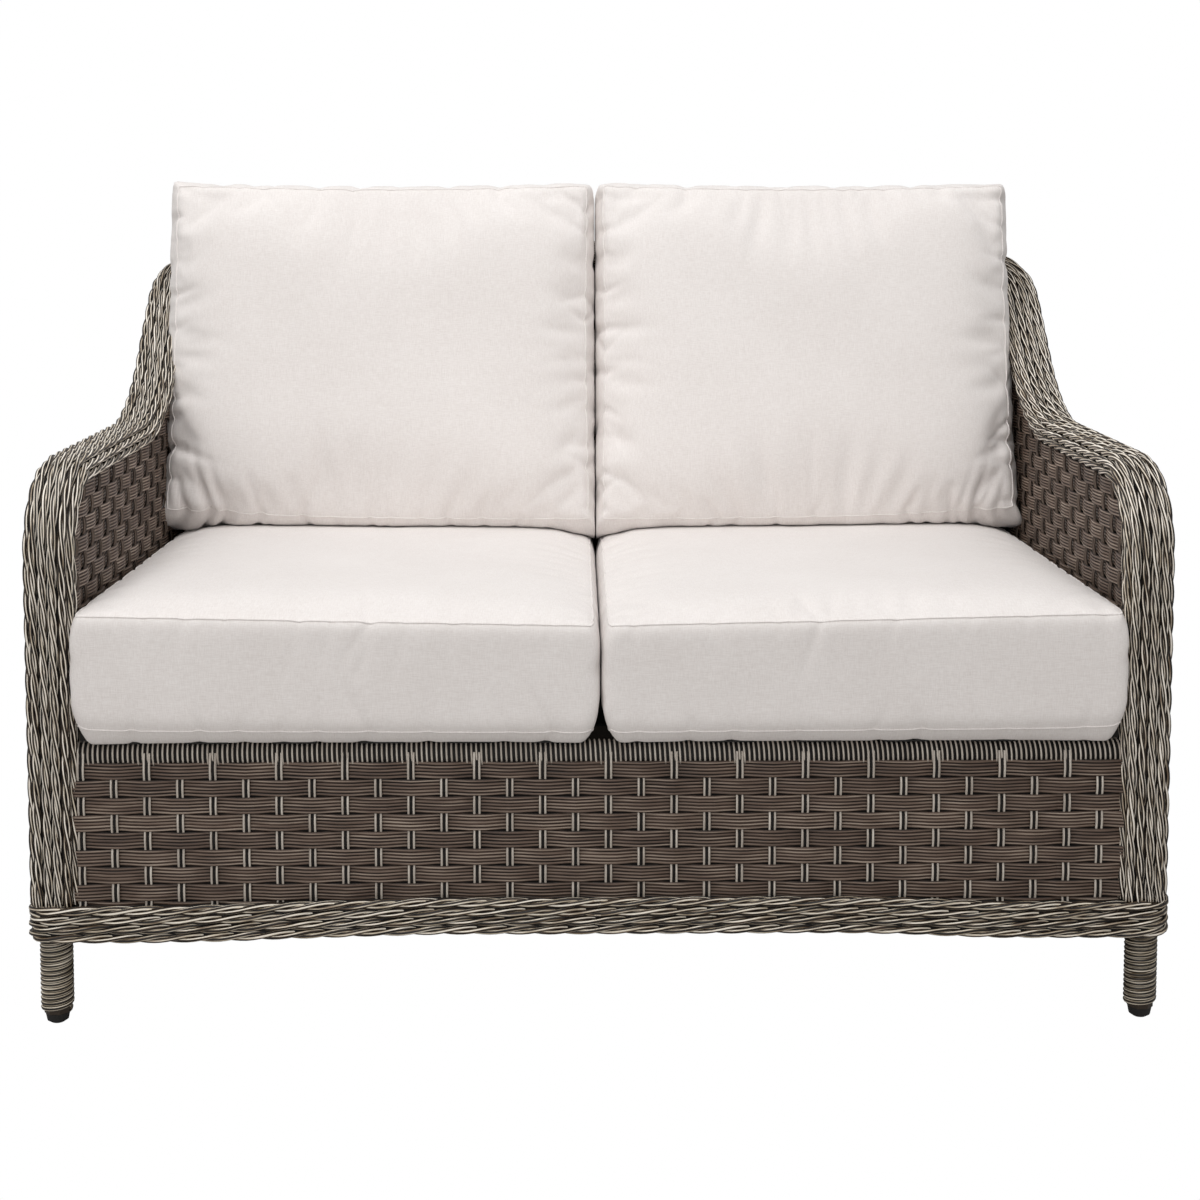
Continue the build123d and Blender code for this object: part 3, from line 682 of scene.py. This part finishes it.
# Inner skins of the arms
for side, hand in hands:
    low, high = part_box(f"inner_weave_{hand}")
    faceX = side * (tubeX - sideSkin["innerIn"])
    ends = low.y - sideSkin["innerFront"], high.y + sideSkin["innerRear"]
    path, first = flatPath((faceX, ends[0], 0), (faceX, ends[1], 0), quarter)
    weaveRows(
        f"innerWeave{hand.capitalize()}", f"inner_weave_{hand}", path, (-side, 0.0, 0), upward,
        places["deckTop"], topOver(path[:, 1]) + sideSkin["innerRise"], "brownStake", first, lowest=0,
    )

# Raked inner back, leaning with its foot on the rear seat rail
backSkin = {"edge": 0.002, "into": 0.0025, "slopeFrom": 0.53, "slopeOver": 0.07, "slopeFall": 0.22}
rake = places["backRake"]
leanUp = np.array([0, math.sin(rake), math.cos(rake)])
leanOut = np.array([0, -math.cos(rake), math.sin(rake)])
backFoot = np.array([0, *places["backFoot"]])
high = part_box("back_weave_inner")[1]
halfWidth = high.x - backSkin["edge"]
path, first = flatPath((-halfWidth, 0, 0), (halfWidth, 0, 0), quarter)
path = path + backFoot - leanOut * backSkin["into"]
rise = (high.z - backFoot[2]) / math.cos(rake)
slope = np.clip((np.abs(path[:, 0]) - backSkin["slopeFrom"]) / backSkin["slopeOver"], 0, 1)
tops = rise - backSkin["slopeFall"] * slope
weaveRows(
    "innerWeaveBack", "back_weave_inner", path, leanOut, leanUp, 0.0, tops, "brownStake", first, lowest=0,
)
print("weave made")


def wound(settings, centre, turns, low, high):
    # A strand wound round an upright line, with its ends tucked in
    angles = np.linspace(0, 2 * math.pi * turns, turns * settings["steps"])
    spokes = np.stack([np.cos(angles), np.sin(angles), np.zeros_like(angles)], axis=1)
    fromEnd = np.minimum(angles, angles[-1] - angles)
    out = settings["radius"] - settings["tuck"] * np.clip(1 - fromEnd / settings["tuckOver"], 0, 1)
    level = low + (high - low) * angles / angles[-1]
    line = centre + spokes * out[:, None] + upward * level[:, None]
    return line, spokes, np.broadcast_to(upward, line.shape)


# Comb: light strands wound over the front seat rail
comb = {
    "pitch": 0.00567, "strand": 0.00115, "radius": 0.0152, "steps": 16, "sides": 6,
    "core": 0.0141, "coreSides": 28, "tuck": 0.0, "tuckOver": 1.0,
}
low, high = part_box("front_rail_wrap")
railY, railZ = (low.y + high.y) / 2, (low.z + high.z) / 2
turns = int((high.x - low.x) / comb["pitch"])
winding = wound(comb, np.array([railY, railZ, 0]), turns, low.x, high.x)
winding = [np.roll(part, 1, axis=1) for part in winding]  # laid along X
addStrands("railComb", [winding], comb, "stake", ["front_rail_wrap"])
# Near-black core inside the comb: painted shade between its strands
form = bmesh.new()
bmesh.ops.create_cone(
    form, cap_ends=True, segments=comb["coreSides"], radius1=comb["core"], radius2=comb["core"],
    depth=high.x - low.x,
)
bmesh.ops.rotate(form, verts=form.verts, cent=(0, 0, 0), matrix=Matrix.Rotation(math.pi / 2, 3, "Y"))
bmesh.ops.translate(form, verts=form.verts, vec=(0, railY, railZ))
mesh = meshOf("railWrapCore", form)
mesh.shade_smooth()
linkPiece("railWrapCore", mesh, "paintedShadeFill", ["front_rail_wrap"])

# Legs: two strands wound side by side round each foot
leg = {
    "strand": 0.0027, "radius": 0.0163, "low": 0.0125, "high": 0.1015, "turns": 8, "steps": 24,
    "sides": 10, "ridge": 0.1, "tuck": 0.0035, "tuckOver": 0.7,
}
rearX, rearY = places["rearPost"]
feet = {
    "FrontLeft": (-tubeX, places["postY"]),
    "FrontRight": (tubeX, places["postY"]),
    "RearLeft": (-rearX, rearY),
    "RearRight": (rearX, rearY),
}
apart = (leg["high"] - leg["low"]) / leg["turns"] / 2
for place, foot in feet.items():
    winds = [
        wound(leg, np.array([*foot, 0]), leg["turns"], leg["low"] + lift, leg["high"] + lift)
        for lift in (0, apart)
    ]
    addStrands(f"legWinding{place}", winds, leg, "wrapStrand", ["leg_wraps"])
print("wraps made")

# Cushions: boxed covers. A cloth run blows each up between its two seams, which are held.
# Sizes are from seam to seam. Puckers: mean spacing, depth and reach of the small folds at the seams.
# Folds and crease: place along the seam, depth, width and reach of the strong ones
cushions = {
    "seat": {
        "size": (0.5880, 0.652, 0.124), "corner": 0.014, "grid": 0.0095, "reach": 0.6025,
        "pressure": 2.0, "stiff": 20.0, "loose": 0.012, "cap": 0.008,
        "crown": (0.0115, 0.13), "base": (0.0180, 0.014), "bulge": 0.006, "sag": 0.0,
        "outerBulge": {"left": 0.0, "right": 0.0}, "foldShare": {"left": 1.0, "right": 0.7},
        "puckers": (0.070, 0.0020, 0.034), "crease": None,
        "folds": (
            (0.255, 0.0014, 0.0050, 0.085), (0.292, 0.0012, 0.0045, 0.070),
            (0.338, 0.0017, 0.0055, 0.090), (0.376, 0.0011, 0.0045, 0.060),
        ),
    },
    "back": {
        "size": (0.583, 0.472, 0.132), "corner": 0.007, "grid": 0.0085, "reach": 0.6135,
        "pressure": 2.4, "stiff": 12.0, "loose": 0.03, "cap": 0.012,
        "crown": (0.022, 0.15), "base": (0.009, 0.06), "bulge": 0.007, "sag": 0.015,
        "outerBulge": {"left": 0.008, "right": 0.002}, "foldShare": {"left": 1.0, "right": 0.45},
        "puckers": (0.040, 0.0036, 0.024), "crease": (0.092, 0.0095, 0.0068, 0.045),
        "folds": (
            (0.024, 0.0080, 0.0052, 0.046), (0.058, 0.0110, 0.0056, 0.056),
            (0.080, 0.0085, 0.0050, 0.048), (0.128, 0.0050, 0.0060, 0.040),
        ),
    },
}
seatShape = {
    "lowSeam": 0.3455, "highSeam": 0.4685, "lowTilt": 0.004, "highTilt": 0.0125, "fall": 0.0048,
    "tiltLoss": 0.75, "inner": 0.0075, "cornerLift": 0.004, "cornerPower": 14,
    "hang": 0.0042, "railFront": -0.378, "railRun": 0.004, "frontRoom": 0.003,
}
backShape = {
    "foot": 0.1355, "head": 0.6165, "footTilt": 0.015, "footPower": 3, "out": 0.010, "dip": 0.005,
    "waist": 0.003, "ear": 0.0015, "earPower": 8, "upperPower": 4, "backGap": 0.0015,
    "seatGap": 0.0012, "seatBelow": 0.55, "rayFrom": 0.62,
    "inner": (0.0085, 0.0100), "outer": {"left": (0.6020, 0.6020), "right": (0.5915, 0.5900)},
}
# Each pair: least value, and how much a random draw adds
puckering = {
    "start": 0.01, "spacing": (0.6, 0.8), "depth": (0.35, 1.1), "width": (0.0045, 0.0025),
    "reach": (0.5, 1.0), "lean": 0.35, "foldLean": 0.25, "creaseLean": -0.3, "topShare": 0.5,
}
clothRun = {"frames": 20, "bending": 0.3, "quality": 6}
seamRidge = {"strand": 0.0010, "sides": 6, "closed": True, "lift": 0.0001, "step": 0.005}
nearly, finerNearly = 1e-5, 1e-4  # how close a point of the flat box counts as on its side
middleGap = 0.0006  # least distance between a cushion and the middle plane


def boxForm(size, grid):
    # Box of even squares, from six grids that are merged at their edges
    form = bmesh.new()
    halves = [s / 2 for s in size]
    counts = [max(2, int(round(s / grid))) for s in size]
    for axis in range(3):
        a, b = [k for k in range(3) if k != axis]
        for side in (-1, 1):
            made = bmesh.ops.create_grid(form, x_segments=counts[a], y_segments=counts[b], size=1.0)
            for vert in made["verts"]:
                spot = [0.0, 0.0, 0.0]
                spot[a] = vert.co.x * halves[a]
                spot[b] = vert.co.y * halves[b]
                spot[axis] = side * halves[axis]
                vert.co = spot
    bmesh.ops.remove_doubles(form, verts=form.verts, dist=grid / 20)
    bmesh.ops.recalc_face_normals(form, faces=form.faces)
    return form


def boxParts(spots, settings):
    # Which vertices lie on the two seams, and which on the boxing between them
    halves = np.array(settings["size"]) / 2
    ring = np.max(np.abs(spots[:, :2]) - halves[:2], axis=1) > -nearly
    ends = np.abs(spots[:, 2]) > halves[2] - nearly
    return ring & ends, ring & ~ends


def startForm(spots, settings, side, hand):
    # Round the upright corners, crown the panels and swell the boxing a little
    halfW, halfH, halfT = [s / 2 for s in settings["size"]]
    radius = settings["corner"]
    seam, boxing = boxParts(spots, settings)
    shaped = spots.copy()
    ax = np.maximum(0, np.abs(spots[:, 0]) - halfW + radius)
    ay = np.maximum(0, np.abs(spots[:, 1]) - halfH + radius)
    both = (ax > 0) & (ay > 0)
    scale = np.where(both, np.maximum(ax, ay) / np.maximum(np.hypot(ax, ay), 1e-9), 1.0)
    shaped[:, 0] = np.where(both, np.copysign(halfW - radius + ax * scale, spots[:, 0]), spots[:, 0])
    shaped[:, 1] = np.where(both, np.copysign(halfH - radius + ay * scale, spots[:, 1]), spots[:, 1])
    panel = ~seam & ~boxing
    upper = spots[:, 2] > 0
    rise = np.where(upper, settings["crown"][0], settings["base"][0])
    for axis, half in enumerate((halfW, halfH)):
        width = np.where(upper, settings["crown"][1], settings["base"][1])
        edge = np.clip((half - np.abs(spots[:, axis])) / width, 0, 1)
        rise = rise * (1 - (1 - edge) ** 3) ** 0.6
    shaped[:, 2] += np.where(panel, np.sign(spots[:, 2]) * rise, 0)
    swell = settings["bulge"] + settings["sag"] * (spots[:, 1] < -halfH + nearly)
    swell = swell + settings["outerBulge"][hand] * (spots[:, 0] * side > halfW - nearly)
    swell = swell * (1 - (spots[:, 2] / halfT) ** 4)
    share = shaped[:, :2] / np.array([halfW, halfH])
    most = np.max(np.abs(share), axis=1, keepdims=True)
    outward = np.where(np.abs(share) >= most - 0.03, np.sign(share), 0)  # both ways at a corner
    shaped[:, :2] += np.where(boxing[:, None], outward * swell[:, None], 0)
    return shaped, seam


def inflate(piece, settings, seam):
    # Blow the cover up in a short cloth run, with the seams held
    pins = piece.vertex_groups.new(name="pins")
    pins.add([int(i) for i in np.nonzero(seam)[0]], 1.0, "REPLACE")
    before = np.array([v.co for v in piece.data.vertices])
    cloth = piece.modifiers.new("Cloth", "CLOTH")
    made = cloth.settings
    made.use_pressure = True
    made.uniform_pressure_force = settings["pressure"]
    made.tension_stiffness = settings["stiff"]
    made.compression_stiffness = settings["stiff"]
    made.bending_stiffness = clothRun["bending"]
    made.quality = clothRun["quality"]
    made.effector_weights.gravity = 0.0
    made.vertex_group_mass = "pins"
    made.shrink_min = -settings["loose"]
    cloth.collision_settings.use_collision = False
    cloth.collision_settings.use_self_collision = False
    scene = bpy.context.scene
    for number in range(1, clothRun["frames"] + 1):
        scene.frame_set(number)
    evaluated = piece.evaluated_get(bpy.context.evaluated_depsgraph_get())
    after = np.array([v.co for v in evaluated.data.vertices])
    piece.modifiers.remove(cloth)
    scene.frame_set(1)
    moved = after - before
    length = np.linalg.norm(moved, axis=1, keepdims=True)
    cap = settings["cap"]
    return before + moved * (cap * np.tanh(length / cap) / np.maximum(length, 1e-9))


def drawn(spread, value):
    return spread[0] + spread[1] * value


def foldDepth(across, away, fold, lean):
    # One fold: its place along the seam, depth, width and how far it runs from the seam
    place, depth, width, far = fold
    return depth * np.exp(-((across - place - lean * away) / width) ** 2 - (away / far) ** 2)


def seamFolds(flat, settings, hand):
    # Depth of the folds that run off the seams, from each vertex's place on the flat box
    halfW, halfH, halfT = [s / 2 for s in settings["size"]]
    spacing, depth, reach = settings["puckers"]
    total = np.zeros(len(flat))
    onPanel = np.abs(flat[:, 2]) > halfT - finerNearly
    overBoxing = halfT - np.abs(flat[:, 2])
    for axis, half, length in ((0, halfW, halfH), (1, halfH, halfW)):
        along = flat[:, 1 - axis]
        for side in (-1, 1):
            away = np.where(onPanel, half - side * flat[:, axis], overBoxing)
            near = onPanel | (side * flat[:, axis] > half - finerNearly)
            # The top edge is drawn smoother
            share = puckering["topShare"] if (axis, side) == (1, 1) else 1.0
            for end in (-1, 1):
                here = near & (end * flat[:, 2] > 0)
                place = puckering["start"] - length + spacing * random.random()
                while place < length:
                    size = share * depth * drawn(puckering["depth"], random.random())
                    width = drawn(puckering["width"], random.random())
                    far = reach * drawn(puckering["reach"], random.random())
                    lean = puckering["lean"] * random.standard_normal()
                    total += here * foldDepth(along, away, (place, size, width, far), lean)
                    place += spacing * drawn(puckering["spacing"], random.random())
    front = flat[:, 2] > 0
    foldShare = settings["foldShare"][hand]
    for place, *rest in settings["folds"]:
        away = np.where(onPanel, flat[:, 1] + halfH, overBoxing)
        here = front & (onPanel | (flat[:, 1] < -halfH + finerNearly))
        fold = (halfW - place, *rest)
        total += foldShare * here * foldDepth(flat[:, 0], away, fold, puckering["foldLean"])
    if settings["crease"]:
        place, *rest = settings["crease"]
        away = np.where(onPanel, halfW - flat[:, 0], overBoxing)
        here = front & (onPanel | (flat[:, 0] > halfW - finerNearly))
        fold = (place - halfH, *rest)
        total += foldShare * here * foldDepth(flat[:, 1], away, fold, puckering["creaseLean"])
    return total


def finishCushion(piece, spots, flat, settings, hand):
    # Divide the cover once, then press the folds into the finer mesh
    mesh = piece.data
    mesh.vertices.foreach_set("co", flatData(spots))
    mesh.attributes.new("flat", "FLOAT_VECTOR", "POINT").data.foreach_set("vector", flatData(flat))
    mesh.update()
    divide = piece.modifiers.new("Subdivision", "SUBSURF")
    divide.levels = 1
    divide.render_levels = 1
    evaluated = piece.evaluated_get(bpy.context.evaluated_depsgraph_get())
    finer = bpy.data.meshes.new_from_object(evaluated)
    piece.modifiers.remove(divide)
    count = len(finer.vertices)
    coords, normals, laidFlat = (np.zeros(count * 3, np.float32) for _ in range(3))
    finer.vertices.foreach_get("co", coords)
    finer.vertex_normals.foreach_get("vector", normals)
    finer.attributes["flat"].data.foreach_get("vector", laidFlat)
    coords, normals, laidFlat = (v.reshape(-1, 3).astype(float) for v in (coords, normals, laidFlat))
    coords -= normals * seamFolds(laidFlat, settings, hand)[:, None]
    finer.vertices.foreach_set("co", flatData(coords))
    finer.attributes.remove(finer.attributes["flat"])
    finer.shade_smooth()
    piece.data = finer
    bpy.data.meshes.remove(mesh)
    finer.materials.clear()
    finer.materials.append(materials["fabric"])
    piece.vertex_groups.clear()
    past = np.abs(laidFlat) - np.array(settings["size"]) / 2 > -finerNearly
    onSeam = past[:, 2] & (past[:, 0] | past[:, 1])
    return coords[onSeam], normals[onSeam], laidFlat[onSeam]


def addSeams(piece, flatSeam, seamSpots, seamNormals, body, node):
    # A fine ridge of folded cloth along each of the two boxing seams
    strands = []
    for end in (-1, 1):
        chosen = flatSeam[:, 2] * end > 0
        ratio = flatSeam[chosen, :2] / np.max(np.abs(flatSeam[:, :2]), axis=0)
        order = np.argsort(np.arctan2(ratio[:, 1], ratio[:, 0]))
        line = (seamSpots[chosen] + seamNormals[chosen] * seamRidge["lift"])[order]
        line = resampled(np.vstack([line, line[:1]]), seamRidge["step"])[:-1]
        outward = seamNormals[chosen][order]
        picks = np.linspace(0, len(outward) - 1, len(line)).round().astype(int)
        tangents = closedTangents(line)
        across = unit(np.cross(tangents, outward[picks]))
        strands.append((line, np.cross(across, tangents), across))
    addStrands(piece.name + "Seams", strands, seamRidge, "fabric", [node], body)


def seatTrees():
    trees = []
    for _, hand in hands:
        mesh = bpy.data.objects[f"seatCushion{hand.capitalize()}"].data
        verts = [v.co.copy() for v in mesh.vertices]
        trees.append(BVHTree.FromPolygons(verts, [tuple(p.vertices) for p in mesh.polygons]))
    return trees


def placeSeat(spots, side, low, high):
    # From the flat cushion to the seat: its outer side lies a little higher
    halfW, halfH, halfT = [s / 2 for s in cushions["seat"]["size"]]
    share = np.clip((spots[:, 0] * side + halfW) / (2 * halfW), 0, 1)
    depth = np.clip((spots[:, 1] + halfH) / (2 * halfH), 0, 1)
    corner = seatShape["cornerLift"] * share ** seatShape["cornerPower"]
    lowSeam = seatShape["lowSeam"] + seatShape["lowTilt"] * share + corner
    tilt = seatShape["highTilt"] * share * (1 - seatShape["tiltLoss"] * depth)
    highSeam = seatShape["highSeam"] + tilt - seatShape["fall"] * depth
    world = np.empty_like(spots)
    world[:, 0] = side * (seatShape["inner"] + halfW) + spots[:, 0]
    world[:, 1] = (low.y + high.y) / 2 + spots[:, 1]
    level = (spots[:, 2] + halfT) / (2 * halfT)
    world[:, 2] = lowSeam + (highSeam - lowSeam) * level
    return world


def placeBack(spots, side, hand):
    # From the flat cushion to the raked back: the top edge dips between its two pointed corners
    halfW, halfH, halfT = [s / 2 for s in cushions["back"]["size"]]
    u = spots[:, 0] / halfW * side
    v = spots[:, 1] / halfH
    level = np.clip(v / 2 + 0.5, -0.1, 1.1)
    inner, outer = (
        ends[0] + (ends[1] - ends[0]) * level for ends in (backShape["inner"], backShape["outer"][hand])
    )
    u = u * (1 - backShape["waist"] / halfW * (1 - np.clip(v, -1, 1) ** 2))
    across = side * ((inner + outer) / 2 + u * (outer - inner) / 2)
    lift = backShape["footTilt"] * np.clip((u + 1) / 2, 0, 1) ** backShape["footPower"]
    foot = backShape["foot"] + lift
    rise = foot + (backShape["head"] - foot) * (v / 2 + 0.5)
    upper = np.clip(v, 0, 1) ** backShape["upperPower"]
    ear = backShape["ear"] * np.abs(u) ** backShape["earPower"]
    rise = rise + upper * (ear - backShape["dip"] * (1 - u ** 2))
    out = spots[:, 2] + halfT + backShape["out"]
    sideways = across[:, None] * np.array([1.0, 0, 0])
    return backFoot + sideways + leanUp * rise[:, None] + leanOut * out[:, None]


for kind, settings in cushions.items():
    for side, hand in hands:
        name = f"{kind}Cushion{hand.capitalize()}"
        form = boxForm(settings["size"], settings["grid"])
        flat = np.array([v.co for v in form.verts])
        spots, seam = startForm(flat, settings, side, hand)
        mesh = meshOf(name, form)
        low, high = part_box(f"{kind}_cover_{hand}")
        world = placeSeat(spots, side, low, high) if kind == "seat" else placeBack(spots, side, hand)
        mesh.vertices.foreach_set("co", flatData(world))
        piece = bpy.data.objects.new(name, mesh)
        bpy.context.scene.collection.objects.link(piece)
        world = inflate(piece, settings, seam)
        world[:, 0] = side * np.clip(world[:, 0] * side, middleGap, settings["reach"])
        if kind == "seat":
            # The underside lies flat on the deck, and its front edge hangs a little over the rail
            overRail = np.clip((seatShape["railFront"] - world[:, 1]) / seatShape["railRun"], 0, 1)
            floor = low.z - seatShape["hang"] * overRail
            bottom = (flat[:, 2] < nearly - settings["size"][2] / 2) & ~seam
            world[:, 2] = np.where(bottom, floor, np.maximum(world[:, 2], floor))
            world[:, 1] = np.clip(world[:, 1], low.y - seatShape["frontRoom"], high.y)
        else:
            # In front of the inner back, and just above the seat cushions
            depth = (world - backFoot) @ leanOut
            world += leanOut * np.maximum(backShape["backGap"] - depth, 0)[:, None]
            trees = seatTrees()
            for i in np.nonzero(world[:, 2] < backShape["seatBelow"])[0]:
                for tree in trees:
                    hit = tree.ray_cast(Vector((*world[i, :2], backShape["rayFrom"])), Vector((0, 0, -1)))
                    if hit[0]:
                        world[i, 2] = max(world[i, 2], hit[0].z + backShape["seatGap"])
        body = f"{kind}_cushion_{hand}"
        mirrored = flat * np.array([side, 1, 1])
        seamSpots, seamNormals, seamFlat = finishCushion(piece, world, mirrored, settings, hand)
        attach(piece, body)
        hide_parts(f"{kind}_cover_{hand}", f"{kind}_{'foam' if kind == 'seat' else 'fill'}_{hand}")
        addSeams(piece, seamFlat, seamSpots, seamNormals, body, f"{kind}_cover_{hand}")
        print("cushion made", name, len(piece.data.polygons))

# Pieces carried over from the frame
carriedLooks = {
    "frame": ("arm_tube", "top_rail_tube", "rear_post", "base_rail", "seat_rail", "seat_cross"),
    "webbing": ("deck_straps",), "glide": ("foot_glides",),
}
for node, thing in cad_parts.items():
    for look, starts in carriedLooks.items():
        if node.startswith(starts):
            thing.data.materials.clear()
            thing.data.materials.append(materials[look])

# Studio: soft light from above and from the front left, and the camera
studio = {
    "floorColour": "#b6b3b0", "floorSize": 30, "floorRoughness": 0.8, "ambient": 0.48,
    "lights": (
        ("overheadSoftbox", (-0.3, -0.9, 3.1), (0, 0, 0.4), (3.2, 2.4), 55),
        ("frontSoftbox", (-1.2, -3.6, 1.5), (0, 0, 0.5), (2.6, 2.0), 25),
    ),
    "eye": (-0.0296, -2.598, 0.955), "tilt": 85.47, "turn": -0.75,
    "lens": 58.62, "sensor": 36.0, "shift": -0.2103, "clip": 60,
}


def shownToCamera(tree, lighting, shown):
    # The camera sees one shader, and the other does the lighting
    seen = addNode(tree, "LightPath").outputs["Is Camera Ray"]
    return addNode(tree, "MixShader", {0: seen, 1: lighting, 2: shown}).outputs[0]


def makeStage():
    bpy.ops.mesh.primitive_plane_add(size=studio["floorSize"], location=(0, 0, 0))
    floor = bpy.context.object
    floor.name = "floor"
    material, tree, shader = newMaterial("paleStudioFloor")
    colour = linear(studio["floorColour"])
    setInputs(tree, shader, {"Base Color": colour, "Roughness": studio["floorRoughness"]})
    glow = addNode(tree, "Emission", {"Color": (1, 1, 1, 1), "Strength": 1.0}).outputs[0]
    output = next(node for node in tree.nodes if node.type == "OUTPUT_MATERIAL")
    tree.links.new(shownToCamera(tree, shader.outputs[0], glow), output.inputs["Surface"])
    floor.data.materials.append(material)
    world = bpy.data.worlds.new("studio")
    bpy.context.scene.world = world
    world.use_nodes = True
    tree = world.node_tree
    tree.nodes.clear()
    ambient, backdrop = (
        addNode(tree, "Background", {"Color": (1, 1, 1, 1), "Strength": strength}).outputs[0]
        for strength in (studio["ambient"], 1.0)
    )
    output = addNode(tree, "OutputWorld")
    tree.links.new(shownToCamera(tree, ambient, backdrop), output.inputs["Surface"])


def addLight(name, place, target, size, power):
    light = bpy.data.lights.new(name, "AREA")
    light.shape = "RECTANGLE"
    light.size, light.size_y = size
    light.energy = power
    thing = bpy.data.objects.new(name, light)
    bpy.context.scene.collection.objects.link(thing)
    thing.location = place
    thing.rotation_euler = (Vector(target) - Vector(place)).to_track_quat("-Z", "Y").to_euler()


makeStage()
for light in studio["lights"]:
    addLight(*light)
camera = bpy.data.cameras.new("camera")
camera.lens = studio["lens"]
camera.sensor_width = studio["sensor"]
camera.shift_y = studio["shift"]
camera.clip_end = studio["clip"]
eye = bpy.data.objects.new("camera", camera)
bpy.context.scene.collection.objects.link(eye)
eye.location = studio["eye"]
eye.rotation_euler = (math.radians(studio["tilt"]), 0, math.radians(studio["turn"]))
bpy.context.scene.camera = eye
bpy.context.scene.view_settings.view_transform = "Standard"
